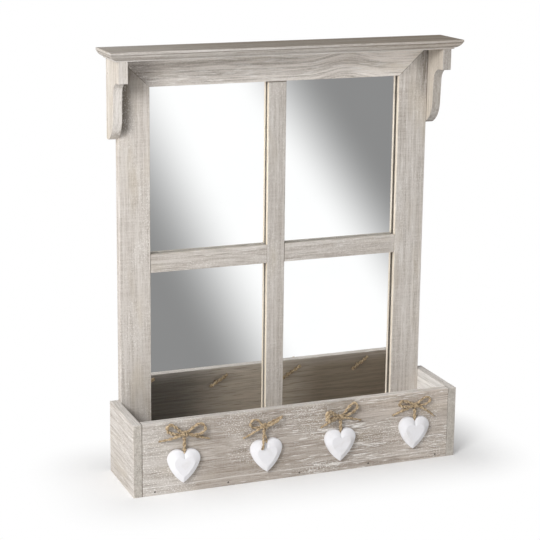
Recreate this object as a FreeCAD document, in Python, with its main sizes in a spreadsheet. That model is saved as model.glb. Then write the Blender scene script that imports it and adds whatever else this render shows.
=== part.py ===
import FreeCAD, Part
import math
import os
import re
import Sketcher

# Window mirror with a planter trough at its foot. Millimetres, +Z up, front towards -Y.
# The origin lies on the underside of the trough, at the middle of its footprint.

Vector = FreeCAD.Vector

SIZES = {
    # Whole object
    "overall_height": 600.0,
    "edge_round": 0.8,
    # Trough boards
    "trough_width": 487.0,
    "trough_depth": 110.0,
    "trough_height": 103.5,
    "board_thickness": 12.5,
    "base_thickness": 10.0,
    # Mitred frame and its rebate
    "frame_thickness": 13.0,
    "stile_width": 44.4,
    "top_rail_width": 41.2,
    "bottom_rail_width": 44.0,
    "rebate_width": 8.0,
    "glass_thickness": 3.0,
    "glass_clearance": 1.0,
    "backing_thickness": 3.0,
    "backing_recess": 0.5,
    # Glazing bars
    "bar_width": 26.5,
    "bar_gap": 0.2,
    "bar_recess": 0.4,
    # Cornice shelf and its moulded edge
    "shelf_width": 515.0,
    "shelf_depth": 70.0,
    "shelf_thickness": 13.5,
    "shelf_lip": 3.5,
    "shelf_lip_step": 0.7,
    "shelf_fillet": 1.8,
    "shelf_inset": 9.8,
    "shelf_ovolo_radius": 13.0,
    # Corbel brackets
    "bracket_thickness": 12.5,
    "bracket_height": 110.5,
    "bracket_projection": 59.5,
    "bracket_block_height": 29.7,
    "bracket_block_round": 1.5,
    "bracket_cove_radius": 16.8,
    "bracket_stem_top": 33.0,
    "bracket_stem_foot": 31.0,
    "bracket_foot_height": 32.0,
    "bracket_foot_radius": 34.0,
    "bracket_foot_flat": 8.5,
    # Brads and their sunk heads
    "pin_diameter": 1.6,
    "pin_length": 28.0,
    "pin_sink_diameter": 2.4,
    "pin_sink": 0.8,
    "front_pin_inset": 18.0,
    "side_pin_back": 8.4,
    "side_pin_front": 31.6,
    "stile_pin_low": 21.7,
    "stile_pin_fall": 19.5,
    "bracket_pin_drop": 21.0,
    "bracket_pin_pitch": 62.0,
    "cornice_pin_inset": 81.0,
    "cornice_pin_sink": 1.2,
    # Hearts
    "heart_width": 46.5,
    "heart_height": 47.5,
    "heart_thickness": 9.0,
    "heart_rim": 4.8,
    "heart_lobe_radius": 13.5,
    "heart_flank_radius": 55.0,
    "heart_facet_side": 8.9,
    "heart_facet_top": 10.0,
    "heart_facet_tip": 9.3,
    "heart_face_lobe_radius": 8.0,
    "heart_face_flank_radius": 47.5,
    "heart_board_clearance": 0.9,
    "heart_row_inset": 57.0,
    "heart_row_offset": 1.5,
    "cord_hole_depth": 4.0,
    "front_hole_aside": 7.9,
    "front_hole_below": 7.2,
    "front_hole_depth": 2.6,
    # Twine
    "twine_diameter": 2.0,
    "strand_gap": 0.5,
    "knot_half_length": 3.2,
    "wrap_diameter": 1.7,
    "cord_diameter": 2.6,
    "cord_clearance": 0.3,
    "twine_hole_diameter": 4.4,
    "twine_hole_aside": 2.7,
    "inner_knot_diameter": 6.8,
    "knot_fall_1": 18.0,
    "knot_fall_2": 21.0,
    "knot_fall_3": 21.5,
    "knot_fall_4": 18.0,
    "drop_1": 26.5,
    "drop_2": 23.8,
    "drop_3": 21.7,
    "drop_4": 21.2,
    # How far the heart with a hole in its face hangs right of its knot, and each heart's lean to the right
    "front_heart_aside": 3.6,
    "lean_1": 2.2,
    "lean_2": -2.5,
    "lean_3": 0.0,
    "lean_4": 2.5,
    # Hangers on the back of the stiles
    "hanger_fall": 80.0,
    "strap_width": 12.0,
    "strap_length": 46.0,
    "strap_thickness": 0.8,
    "strap_lift": 0.4,
    "ring_wire": 2.2,
    "ring_clearance": 0.08,
    "ring_width": 20.0,
    "ring_drop": 13.0,
    "screw_diameter": 3.0,
    "screw_length": 10.0,
    "screw_head_diameter": 6.0,
    "screw_head_height": 1.6,
    "screw_hole_clearance": 0.2,
    "screw_first": 25.0,
    "screw_pitch": 13.0,
    # Steel tabs and corner nails at the back of the frame
    "tab_length": 12.0,
    "tab_width": 6.0,
    "tab_thickness": 0.4,
    "tab_bite": 4.0,
    "corner_nail_arm": 7.0,
    "corner_nail_depth": 8.0,
    "corner_nail_thickness": 0.6,
    "corner_nail_proud": 0.15,
    "corner_nail_share": 0.6,
}

# Places that several pieces share, written in terms of the driving dimensions
BACK = "trough_depth / 2"
FRONT = "-trough_depth / 2"
HALF_FRAME = "(trough_width / 2 - board_thickness)"
FRAME_TOP = "(overall_height - shelf_thickness)"
FRAME_BOTTOM = "base_thickness"
OPENING_HALF = "(trough_width / 2 - board_thickness - stile_width)"
OPENING_TOP = "(overall_height - shelf_thickness - top_rail_width)"
OPENING_BOTTOM = "(base_thickness + bottom_rail_width)"
OPENING_MIDDLE = f"(({OPENING_TOP} + {OPENING_BOTTOM}) / 2)"
REBATE_DEPTH = "(glass_thickness + backing_thickness + backing_recess)"
LIP = "(frame_thickness - glass_thickness - backing_thickness - backing_recess)"
STRAND_RADIUS = "((twine_diameter + strand_gap) / sqrt(3))"
WRAP_RADIUS = f"({STRAND_RADIUS} + twine_diameter / 2 + cord_clearance + wrap_diameter / 2)"
KNOT_STANDOFF = f"({WRAP_RADIUS} + wrap_diameter / 2 + cord_clearance)"
HANGER_HEIGHT = "(overall_height - hanger_fall)"
CURL_RADIUS = "(ring_wire / 2 + ring_clearance + strap_thickness)"

SIDES = {"left": -1, "right": 1}
HEARTS = (1, 2, 3, 4)
FRONT_HOLED_HEART = 2

doc = FreeCAD.newDocument("window_mirror")
sheet = doc.addObject("Spreadsheet::Sheet", "Sizes")
for row, (name, number) in enumerate(SIZES.items(), start=1):
    sheet.set(f"A{row}", name)
    sheet.set(f"B{row}", str(number))
    sheet.setAlias(f"B{row}", name)
doc.recompute()

WORD = re.compile(r"[a-z][a-z0-9_]*")
nodes = []


def bound(text):
    """Expression text in which every driving dimension is read from the sheet."""
    def from_sheet(found):
        word = found.group(0)
        return f"Sizes.{word}" if word in SIZES else word

    return WORD.sub(from_sheet, text)


def size(text):
    """Number that an expression has now."""
    return float(sheet.evalExpression(bound(text)))


def keep(piece, label):
    """Names a finished sub-part and puts it on the list of files to write."""
    piece.Label = label
    nodes.append(piece)
    return piece


def place(piece, x="0", y="0", z="0", turn=None):
    """Sets where a sub-part stands, from expressions."""
    if turn is not None:
        piece.Placement = FreeCAD.Placement(Vector(), turn)
    for axis, text in zip("xyz", (x, y, z)):
        piece.setExpression(f".Placement.Base.{axis}", bound(text))


def new_sketch(body, role, offset="0"):
    """Sketch on one of a body's own planes, moved along the plane's normal."""
    sketch = body.newObject("Sketcher::SketchObject", "Sketch")
    plane = [feature for feature in body.Origin.OriginFeatures if feature.Role == role][0]
    sketch.AttachmentSupport = (plane, [""])
    sketch.MapMode = "FlatFace"
    sketch.setExpression(".AttachmentOffset.Base.z", bound(offset))
    return sketch


def hold(sketch, kind, text, *items):
    """Adds a dimension to a sketch and ties it to an expression."""
    index = sketch.addConstraint(Sketcher.Constraint(kind, *items, size(text)))
    sketch.setExpression(f"Constraints[{index}]", bound(text))


def pin_point(sketch, geometry, end, x, y):
    """Holds one point of a sketch at an expression's coordinates."""
    hold(sketch, "DistanceX", x, -1, 1, geometry, end)
    hold(sketch, "DistanceY", y, -1, 1, geometry, end)


def bulge_point(start, finish, radius, hollow):
    """Middle of the short arc between two points, on the right of the way there unless it is hollow."""
    chord = finish - start
    rise = radius - math.sqrt(radius ** 2 - chord.Length ** 2 / 4)
    side = Vector(chord.y, -chord.x, 0).normalize()
    return (start + finish) / 2 + side * (-rise if hollow else rise)


def outline(body, role, corners, offset="0"):
    """Closed sketch through corners that run anticlockwise.

    A corner is (x, y), or (x, y, radius, form) where an arc leaves it, "round" or "hollow".
    """
    sketch = new_sketch(body, role, offset)
    points = [Vector(size(corner[0]), size(corner[1]), 0) for corner in corners]
    edges = []
    for index, corner in enumerate(corners):
        start = points[index]
        finish = points[(index + 1) % len(points)]
        if len(corner) == 4:
            middle = bulge_point(start, finish, size(corner[2]), corner[3] == "hollow")
            geometry = sketch.addGeometry(Part.Arc(start, middle, finish), False)
        else:
            geometry = sketch.addGeometry(Part.LineSegment(start, finish), False)
        forward = (sketch.getPoint(geometry, 1) - start).Length < 1e-6
        edges.append((geometry, 1, 2) if forward else (geometry, 2, 1))
    for (geometry, begin, end), following in zip(edges, edges[1:] + edges[:1]):
        sketch.addConstraint(Sketcher.Constraint("Coincident", geometry, end, following[0], following[1]))
    for (geometry, begin, end), corner in zip(edges, corners):
        pin_point(sketch, geometry, begin, corner[0], corner[1])
        if len(corner) == 4:
            hold(sketch, "Radius", corner[2], geometry)
    return sketch


def circles(body, role, rounds, offset="0"):
    """Sketch of separate circles, each (x, y, diameter)."""
    sketch = new_sketch(body, role, offset)
    for x, y, diameter in rounds:
        centre = Vector(size(x), size(y), 0)
        geometry = sketch.addGeometry(Part.Circle(centre, Vector(0, 0, 1), size(diameter) / 2), False)
        pin_point(sketch, geometry, 3, x, y)
        hold(sketch, "Diameter", diameter, geometry)
    return sketch


def pad(body, sketch, length, symmetric=False):
    """Thickens a sketch along its normal."""
    feature = body.newObject("PartDesign::Pad", "Pad")
    feature.Profile = sketch
    feature.setExpression("Length", bound(length))
    if symmetric:
        feature.SideType = "Symmetric"
    doc.recompute()
    return feature


def pocket(body, sketch, depth=None, along_normal=False):
    """Cuts a sketch out of a body, right through where no depth is given, and makes sure that it cut."""
    before = body.Shape.Volume
    feature = body.newObject("PartDesign::Pocket", "Pocket")
    feature.Profile = sketch
    feature.Reversed = along_normal
    if depth is None:
        feature.Type = "ThroughAll"
        feature.SideType = "Symmetric"
    else:
        feature.setExpression("Length", bound(depth))
    doc.recompute()
    if body.Shape.Volume > before - 0.01:
        raise RuntimeError(f"{body.Name}: a cut took nothing away")
    return feature


def ease(body, feature, chosen, radius="edge_round"):
    """Rounds the edges of a feature that a rule on their two end points picks."""
    names = []
    for number, edge in enumerate(feature.Shape.Edges, start=1):
        ends = [vertex.Point for vertex in edge.Vertexes]
        if len(ends) == 2 and chosen(ends[0], ends[1]):
            names.append(f"Edge{number}")
    if not names:
        raise RuntimeError(f"{body.Name}: no edge to round")
    fillet = body.newObject("PartDesign::Fillet", "Fillet")
    fillet.Base = (feature, names)
    fillet.setExpression("Radius", bound(radius))
    doc.recompute()
    return fillet


def near(a, b):
    return abs(a - b) < 1e-4


def lies_along(start, finish, along):
    """Whether an edge between two points runs the given way."""
    return abs((finish - start).normalize().dot(along)) > 0.99


def new_board(low, high):
    """Square-edged board between two corners, its own corner at its body's origin."""
    body = doc.addObject("PartDesign::Body", "Board")
    wide, deep, tall = (f"({far}) - ({close})" for close, far in zip(low, high))
    sketch = outline(body, "XY_Plane", [("0", "0"), (wide, "0"), (wide, deep), ("0", deep)])
    feature = pad(body, sketch, tall)
    place(body, *low)
    return body, feature


def rod(name, radius, length, start, along):
    """Round bar from a starting point the given way."""
    bar = doc.addObject("Part::Cylinder", name)
    bar.setExpression("Radius", bound(radius))
    bar.setExpression("Height", bound(length))
    place(bar, *start, turn=FreeCAD.Rotation(Vector(0, 0, 1), along))
    return bar


def box(name, extent, corner):
    """Plain block from its low corner."""
    block = doc.addObject("Part::Box", name)
    for side, text in zip(("Length", "Width", "Height"), extent):
        block.setExpression(side, bound(text))
    place(block, *corner)
    return block


def fused(name, members):
    """Several shapes as one solid."""
    union = doc.addObject("Part::MultiFuse", name)
    union.Shapes = members
    return union


def brad(start, along):
    """One brad from the bottom of its sunk hole."""
    return rod("Brad", "pin_diameter / 2", "pin_length", start, along)


def group(label, members):
    """Identical fasteners kept together as one sub-part of separate solids."""
    compound = doc.addObject("Part::Compound", "Group")
    compound.Links = members
    doc.recompute()
    return keep(compound, label)


# Trough

def knot_x(number):
    """Where a heart's knot sits along the front board."""
    share = (2 * number - len(HEARTS) - 1) / (len(HEARTS) - 1)
    return f"({share} * ({HALF_FRAME} - heart_row_inset) + heart_row_offset)"


def knot_z(number):
    """Height of a heart's knot, set by how far it lies below the top of the front board."""
    return f"(trough_height - knot_fall_{number})"


def front_pin_places():
    return [f"{share} * ({HALF_FRAME} - front_pin_inset)" for share in (-1, -0.5, 0, 0.5, 1)]


def side_pin_places():
    """Brads in a side board as (distance from the back, height): two into the base, two into the stile."""
    return [
        ("side_pin_back", "base_thickness / 2"),
        ("trough_depth - side_pin_front", "base_thickness / 2"),
        ("frame_thickness / 2", "stile_pin_low"),
        ("frame_thickness / 2", "trough_height - stile_pin_fall"),
    ]


def make_trough_front():
    body, block = new_board(
        (f"-{HALF_FRAME}", FRONT, "0"),
        (HALF_FRAME, f"{FRONT} + board_thickness", "trough_height"),
    )
    top = size("trough_height")
    ease(body, block, lambda a, b: near(a.z, b.z) and near(a.y, b.y) and (near(a.z, top) or near(a.y, 0)))
    holes = [(f"{HALF_FRAME} + {knot_x(n)} + twine_hole_aside", knot_z(n), "twine_hole_diameter")
             for n in HEARTS]
    pocket(body, circles(body, "XZ_Plane", holes))
    sinks = [(f"{HALF_FRAME} + {x}", "base_thickness / 2", "pin_sink_diameter") for x in front_pin_places()]
    pocket(body, circles(body, "XZ_Plane", sinks), "pin_sink")
    keep(body, "trough_front")


def make_trough_side(name, side):
    outer = f"{side} * trough_width / 2"
    low_x = f"{outer} - board_thickness" if side > 0 else outer
    high_x = outer if side > 0 else f"{outer} + board_thickness"
    body, block = new_board((low_x, FRONT, "0"), (high_x, BACK, "trough_height"))
    top = size("trough_height")
    ease(body, block, lambda a, b: near(a.z, b.z) and near(a.z, top) or near(a.y, 0) and near(b.y, 0))
    sinks = [(f"trough_depth - ({y})", z, "pin_sink_diameter") for y, z in side_pin_places()]
    face = "board_thickness" if side > 0 else "0"
    pocket(body, circles(body, "YZ_Plane", sinks, face), "pin_sink", along_normal=side < 0)
    keep(body, f"trough_{name}_side")


def make_trough_base():
    body, block = new_board(
        (f"-{HALF_FRAME}", f"{FRONT} + board_thickness", "0"),
        (HALF_FRAME, BACK, "base_thickness"),
    )
    keep(body, "trough_base")


def make_trough_pins():
    group("trough_front_pins", [
        brad((x, f"{FRONT} + pin_sink", "base_thickness / 2"), Vector(0, 1, 0)) for x in front_pin_places()
    ])
    members = []
    for side in SIDES.values():
        start = f"{side} * (trough_width / 2 - pin_sink)"
        for y, z in side_pin_places():
            members.append(brad((start, f"{BACK} - ({y})", z), Vector(-side, 0, 0)))
    group("trough_side_pins", members)


# Frame

def make_frame_member(label, corners, strip, along):
    """Mitred length of frame with a rebate at the back of its inner edge and eased front edges."""
    body = doc.addObject("PartDesign::Body", "Member")
    blank = pad(body, outline(body, "XZ_Plane", corners), "frame_thickness")
    face = -size("frame_thickness")
    ease(body, blank, lambda a, b: near(a.y, face) and near(b.y, face) and lies_along(a, b, along))
    pocket(body, outline(body, "XZ_Plane", strip), REBATE_DEPTH, along_normal=True)
    place(body, y=BACK)
    keep(body, label)


def make_stile(name, side):
    outer = f"{side} * {HALF_FRAME}"
    inner = f"{side} * {OPENING_HALF}"
    rebate = f"{side} * ({OPENING_HALF} + rebate_width)"
    corners = [(outer, FRAME_BOTTOM), (outer, FRAME_TOP), (inner, OPENING_TOP), (inner, OPENING_BOTTOM)]
    strip = [(rebate, FRAME_BOTTOM), (rebate, FRAME_TOP), (inner, FRAME_TOP), (inner, FRAME_BOTTOM)]
    make_frame_member(f"{name}_stile", corners, strip, Vector(0, 0, 1))


def make_rail(name, outer, inner, rebate):
    far_left, far_right = f"-{HALF_FRAME}", HALF_FRAME
    corners = [(far_left, outer), (far_right, outer), (OPENING_HALF, inner), (f"-{OPENING_HALF}", inner)]
    strip = [(far_left, rebate), (far_right, rebate), (far_right, inner), (far_left, inner)]
    make_frame_member(f"{name}_rail", corners, strip, Vector(1, 0, 0))


def make_bar(label, low_x, high_x, low_z, high_z, along):
    """Glazing bar in front of the glass, set back a little from the frame's face."""
    body, block = new_board(
        (low_x, f"{BACK} - frame_thickness + bar_recess", low_z),
        (high_x, f"{BACK} - {REBATE_DEPTH}", high_z),
    )
    ease(body, block, lambda a, b: near(a.y, 0) and near(b.y, 0) and lies_along(a, b, along))
    keep(body, label)


def make_bars():
    """One upright bar, and a level one in two halves that end against it."""
    half = "bar_width / 2"
    low, high = f"{OPENING_BOTTOM} + bar_gap", f"{OPENING_TOP} - bar_gap"
    make_bar("vertical_glazing_bar", f"-{half}", half, low, high, Vector(0, 0, 1))
    low, high = f"{OPENING_MIDDLE} - {half}", f"{OPENING_MIDDLE} + {half}"
    inner, outer = f"({half} + bar_gap)", f"({OPENING_HALF} - bar_gap)"
    make_bar("left_glazing_bar", f"-{outer}", f"-{inner}", low, high, Vector(1, 0, 0))
    make_bar("right_glazing_bar", inner, outer, low, high, Vector(1, 0, 0))


def make_pane(label, front, back):
    """Sheet that fills the rebate, less a clearance all round."""
    reach = "(rebate_width - glass_clearance)"
    body, block = new_board(
        (f"-{OPENING_HALF} - {reach}", front, f"{OPENING_BOTTOM} - {reach}"),
        (f"{OPENING_HALF} + {reach}", back, f"{OPENING_TOP} + {reach}"),
    )
    keep(body, label)


def make_tabs():
    """Steel tabs pushed into the rebate's wall over the backing board."""
    tabs = []
    flat = f"{BACK} - backing_recess"
    wall_x = f"({OPENING_HALF} + rebate_width)"
    low_wall, high_wall = f"({OPENING_BOTTOM} - rebate_width)", f"({OPENING_TOP} + rebate_width)"
    level = ("tab_length", "tab_thickness", "tab_width")
    for share in (0.2, 0.5, 0.8):
        z = f"{low_wall} + {share} * ({high_wall} - {low_wall}) - tab_width / 2"
        for x in (f"-{wall_x} - tab_bite", f"{wall_x} + tab_bite - tab_length"):
            tabs.append(box("Tab", level, (x, flat, z)))
    upright = ("tab_width", "tab_thickness", "tab_length")
    for share in (-0.5, 0.5):
        x = f"{share} * {OPENING_HALF} - tab_width / 2"
        for z in (f"{low_wall} - tab_bite", f"{high_wall} + tab_bite - tab_length"):
            tabs.append(box("Tab", upright, (x, flat, z)))
    group("backing_tabs", tabs)


def make_corner_nails():
    """V-shaped nails driven across the mitres from the back."""
    members = []
    deep = f"{BACK} - corner_nail_depth + corner_nail_proud"
    places = [(side, OPENING_TOP, "top_rail_width", 1) for side in SIDES.values()]
    places += [(side, OPENING_BOTTOM, "bottom_rail_width", -1) for side in SIDES.values()]
    for side, edge, width, up in places:
        nail = doc.addObject("PartDesign::Body", "CornerNail")
        arm, thick = "corner_nail_arm / 2", "corner_nail_thickness"
        vee = [("0", "0"), (arm, f"-{arm}"), (f"{arm} + {thick}", f"-{arm}"),
               (f"{thick}", "0"), (f"{arm} + {thick}", arm), (arm, arm)]
        pad(nail, outline(nail, "XY_Plane", vee), "corner_nail_depth")
        spread = math.degrees(math.atan2(size(width) * up, size("stile_width") * side))
        to_back = FreeCAD.Rotation(Vector(1, 0, 0), -90)
        x = f"{side} * ({OPENING_HALF} + corner_nail_share * stile_width)"
        z = f"{edge} + {up} * corner_nail_share * {width}"
        place(nail, x, deep, z, turn=FreeCAD.Rotation(Vector(0, 1, 0), -spread) * to_back)
        members.append(nail)
    group("corner_nails", members)


# Cornice and brackets

def moulding(edge, way):
    """Corners of the moulded edge: its lip, its ovolo's top and foot. The way leads into the shelf."""
    under_lip = "shelf_thickness - shelf_lip"
    lip = (edge, under_lip)
    ovolo_top = (f"{edge} + {way} * shelf_lip_step", under_lip)
    ovolo_foot = (f"{edge} + {way} * shelf_inset", "shelf_fillet")
    return lip, ovolo_top, ovolo_foot


def end_waste(side):
    """Outline of what is cut off one end of the shelf so that its moulding returns to the wall."""
    edge = f"{side} * shelf_width / 2"
    lip, ovolo_top, ovolo_foot = moulding(edge, -side)
    beyond, below = f"{edge} + {side} * shelf_thickness", "-shelf_thickness"
    under = (ovolo_foot[0], below)
    hollow = ("shelf_ovolo_radius", "hollow")
    if side > 0:
        return [under, (beyond, below), (beyond, lip[1]), lip, ovolo_top + hollow, ovolo_foot]
    return [under, ovolo_foot + hollow, ovolo_top, lip, (beyond, lip[1]), (beyond, below)]


def make_cornice():
    """Shelf with moulded front and ends: a front profile drawn out sideways, then both ends cut to it."""
    body = doc.addObject("PartDesign::Body", "Cornice")
    lip, ovolo_top, ovolo_foot = moulding("-shelf_depth", 1)
    profile = [
        ("-shelf_depth", "shelf_thickness"),
        lip,
        ovolo_top + ("shelf_ovolo_radius", "round"),
        ovolo_foot,
        (ovolo_foot[0], "0"),
        ("0", "0"),
        ("0", "shelf_thickness"),
    ]
    pad(body, outline(body, "YZ_Plane", profile), "shelf_width", symmetric=True)
    for side in SIDES.values():
        pocket(body, outline(body, "XZ_Plane", end_waste(side)))
    top = size("shelf_thickness")
    on_top = lambda a, b: near(a.z, top) and near(b.z, top)
    ease(body, body.Tip, lambda a, b: on_top(a, b) and not (near(a.y, 0) and near(b.y, 0)))
    place(body, y=BACK, z=FRAME_TOP)
    keep(body, "cornice_shelf")


def bracket_pin_places():
    """Brads in a bracket as (distance from the back, height above the bracket's foot)."""
    top = "bracket_height - bracket_pin_drop"
    return [("frame_thickness / 2", top), ("frame_thickness / 2", f"{top} - bracket_pin_pitch")]


def make_bracket(name, side):
    """Corbel sawn from one board: a block on top, a cove below it, a straight stem and a rounded foot."""
    body = doc.addObject("PartDesign::Body", "Bracket")
    underside = "(bracket_height - bracket_block_height)"
    cove_foot = f"{underside} - bracket_cove_radius"
    profile = [
        ("0", "0"),
        ("0", "bracket_height"),
        ("-bracket_projection", "bracket_height"),
        ("-bracket_projection", f"{underside} + bracket_block_round", "bracket_block_round", "round"),
        ("-bracket_projection + bracket_block_round", underside),
        ("-bracket_stem_top - bracket_cove_radius", underside, "bracket_cove_radius", "hollow"),
        ("-bracket_stem_top", cove_foot),
        ("-bracket_stem_foot", "bracket_foot_height", "bracket_foot_radius", "round"),
        ("-bracket_foot_flat", "0"),
    ]
    blank = pad(body, outline(body, "YZ_Plane", profile), "bracket_thickness")
    sinks = [(f"-{y}", z, "pin_sink_diameter") for y, z in bracket_pin_places()]
    face = "bracket_thickness" if side > 0 else "0"
    pocket(body, circles(body, "YZ_Plane", sinks, face), "pin_sink", along_normal=side < 0)
    x = HALF_FRAME if side > 0 else f"-{HALF_FRAME} - bracket_thickness"
    place(body, x, BACK, f"{FRAME_TOP} - bracket_height")
    keep(body, f"{name}_bracket")


def make_upper_pins():
    members = []
    for side in SIDES.values():
        start = f"{side} * ({HALF_FRAME} + bracket_thickness - pin_sink)"
        for y, z in bracket_pin_places():
            height = f"{FRAME_TOP} - bracket_height + {z}"
            members.append(brad((start, f"{BACK} - {y}", height), Vector(-side, 0, 0)))
    group("bracket_pins", members)
    top = "overall_height - cornice_pin_sink"
    down = Vector(0, 0, -1)
    into_rail = f"{BACK} - frame_thickness / 2"
    members = [brad((f"{share} * ({HALF_FRAME} - cornice_pin_inset)", into_rail, top), down)
               for share in (-1, 0, 1)]
    for side in SIDES.values():
        x = f"{side} * ({HALF_FRAME} + bracket_thickness / 2)"
        members.append(brad((x, f"{BACK} - bracket_projection / 2", top), down))
    group("cornice_pins", members)


# Hearts

def heart_outline(body, offset, width, height, lobe, flank, lobe_line="0"):
    """Heart of four tangent arcs: two lobes centred on one line, and two flanks that meet at the tip."""
    aside = f"({width} / 2 - {lobe})"
    tip_height = f"({lobe_line} + {lobe} - {height})"
    small, large = size(lobe), size(flank)
    ear = Vector(size(aside), size(lobe_line), 0)
    tip = Vector(0, size(tip_height), 0)
    cleft = Vector(0, ear.y + math.sqrt(small ** 2 - ear.x ** 2), 0)
    # The flank's centre lies one radius from the tip and the radii's difference from the lobe's centre
    span = tip - ear
    along = (span.Length ** 2 + (large - small) ** 2 - large ** 2) / (2 * span.Length)
    across = math.sqrt((large - small) ** 2 - along ** 2)
    normal = Vector(-span.y, span.x, 0).normalize()
    choices = [ear + span.normalize() * along + normal * across * sign for sign in (1, -1)]
    centre_point = min(choices, key=lambda point: point.x)
    join = ear + (ear - centre_point).normalize() * small
    over = ear + ((join - ear) + (cleft - ear) + Vector(0, small, 0)).normalize() * small
    middle = centre_point + ((join + tip) / 2 - centre_point).normalize() * large
    sketch = new_sketch(body, "XY_Plane", offset)
    halves = []
    for side in (1, -1):
        flipped = [Vector(side * point.x, point.y, 0) for point in (cleft, over, join, middle, tip)]
        lobe_arc = sketch.addGeometry(Part.Arc(flipped[0], flipped[1], flipped[2]), False)
        flank_arc = sketch.addGeometry(Part.Arc(flipped[2], flipped[3], flipped[4]), False)
        ends = []
        for arc, first in ((lobe_arc, flipped[0]), (flank_arc, flipped[2])):
            forward = (sketch.getPoint(arc, 1) - first).Length < 1e-6
            ends.append((1, 2) if forward else (2, 1))
        sketch.addConstraint(Sketcher.Constraint("Tangent", lobe_arc, ends[0][1], flank_arc, ends[1][0]))
        hold(sketch, "Radius", lobe, lobe_arc)
        hold(sketch, "Radius", flank, flank_arc)
        pin_point(sketch, lobe_arc, 3, f"{side} * {aside}", lobe_line)
        halves.append((lobe_arc, ends[0][0], flank_arc, ends[1][1]))
    right, left = halves
    sketch.addConstraint(Sketcher.Constraint("Coincident", right[0], right[1], left[0], left[1]))
    sketch.addConstraint(Sketcher.Constraint("Coincident", right[2], right[3], left[2], left[3]))
    pin_point(sketch, right[2], right[3], "0", tip_height)
    return sketch


HEART_EDGE = ("heart_width", "heart_height", "heart_lobe_radius", "heart_flank_radius")
HEART_FACE = (
    "(heart_width - 2 * heart_facet_side)",
    "(heart_height - heart_facet_top - heart_facet_tip)",
    "heart_face_lobe_radius",
    "heart_face_flank_radius",
    "(heart_lobe_radius - heart_facet_top - heart_face_lobe_radius)",
)
CLEFT = "sqrt(heart_lobe_radius ^ 2 - (heart_width / 2 - heart_lobe_radius) ^ 2)"
CORD_PLANE = f"({KNOT_STANDOFF} - heart_board_clearance)"


def heart_lean(number):
    """Turn of a heart about the middle of its cleft, from upright to how it hangs."""
    return FreeCAD.Rotation(Vector(0, 1, 0), size(f"lean_{number}"))


def make_heart(number):
    """White heart with a flat back, a plain rim and a facet all round its flat face."""
    body = doc.addObject("PartDesign::Body", "Heart")
    pad(body, heart_outline(body, "0", *HEART_EDGE), "heart_rim")
    facet = body.newObject("PartDesign::AdditiveLoft", "Facet")
    facet.Profile = heart_outline(body, "heart_rim", *HEART_EDGE)
    facet.Sections = [heart_outline(body, "heart_thickness", *HEART_FACE)]
    facet.Ruled = True
    doc.recompute()
    if number == FRONT_HOLED_HEART:
        aside = "front_heart_aside"
        hole = [("-front_hole_aside", f"{CLEFT} - front_hole_below", "cord_diameter + 2 * cord_clearance")]
        pocket(body, circles(body, "XY_Plane", hole, "heart_thickness"), "front_hole_depth")
    else:
        aside = "0"
        hole = [("0", CORD_PLANE, "cord_diameter + 2 * cord_clearance")]
        above = "cord_diameter"
        drill = circles(body, "XZ_Plane", hole, f"-({CLEFT} + {above})")
        pocket(body, drill, f"{above} + cord_hole_depth + cord_clearance", along_normal=True)
    lean = f"lean_{number}"
    place(body, f"{knot_x(number)} + {aside} - {CLEFT} * sin({lean})",
          f"{FRONT} - heart_board_clearance",
          f"{knot_z(number)} - drop_{number} - {CLEFT} * cos({lean})",
          turn=heart_lean(number) * FreeCAD.Rotation(Vector(1, 0, 0), 90))
    keep(body, f"heart_{number}")


# Twine: every route is a list of points chosen by hand, measured from the middle of its knot

def strand(name):
    """Place of one of the three strands inside the knot, as its offset forward and up."""
    reach = size(STRAND_RADIUS)
    angle = math.radians({"top": 90, "front": 210, "back": 330}[name])
    return reach * math.cos(angle), reach * math.sin(angle)


def through_knot(name, way):
    """Two points that carry a strand straight through the knot, left to right or right to left."""
    y, z = strand(name)
    half = size("knot_half_length") * (1 if way == "right" else -1)
    return [Vector(-half, y, z), Vector(half, y, z)]


def drawn(points):
    """Route points that were chosen for twine of one thickness, grown with the twine."""
    growth = size("twine_diameter") / ROUTE_TWINE
    return [Vector(*point) * growth for point in points]


def bow_points(number):
    """A bow's whole route, with each passage through the knot put in where the route names its strand."""
    points = []
    for step in BOW_ROUTES[number]:
        points += through_knot(*step) if len(step) == 2 else drawn([step])
    return points


# Thickness of the twine that the routes were chosen for
ROUTE_TWINE = 2.0

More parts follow.
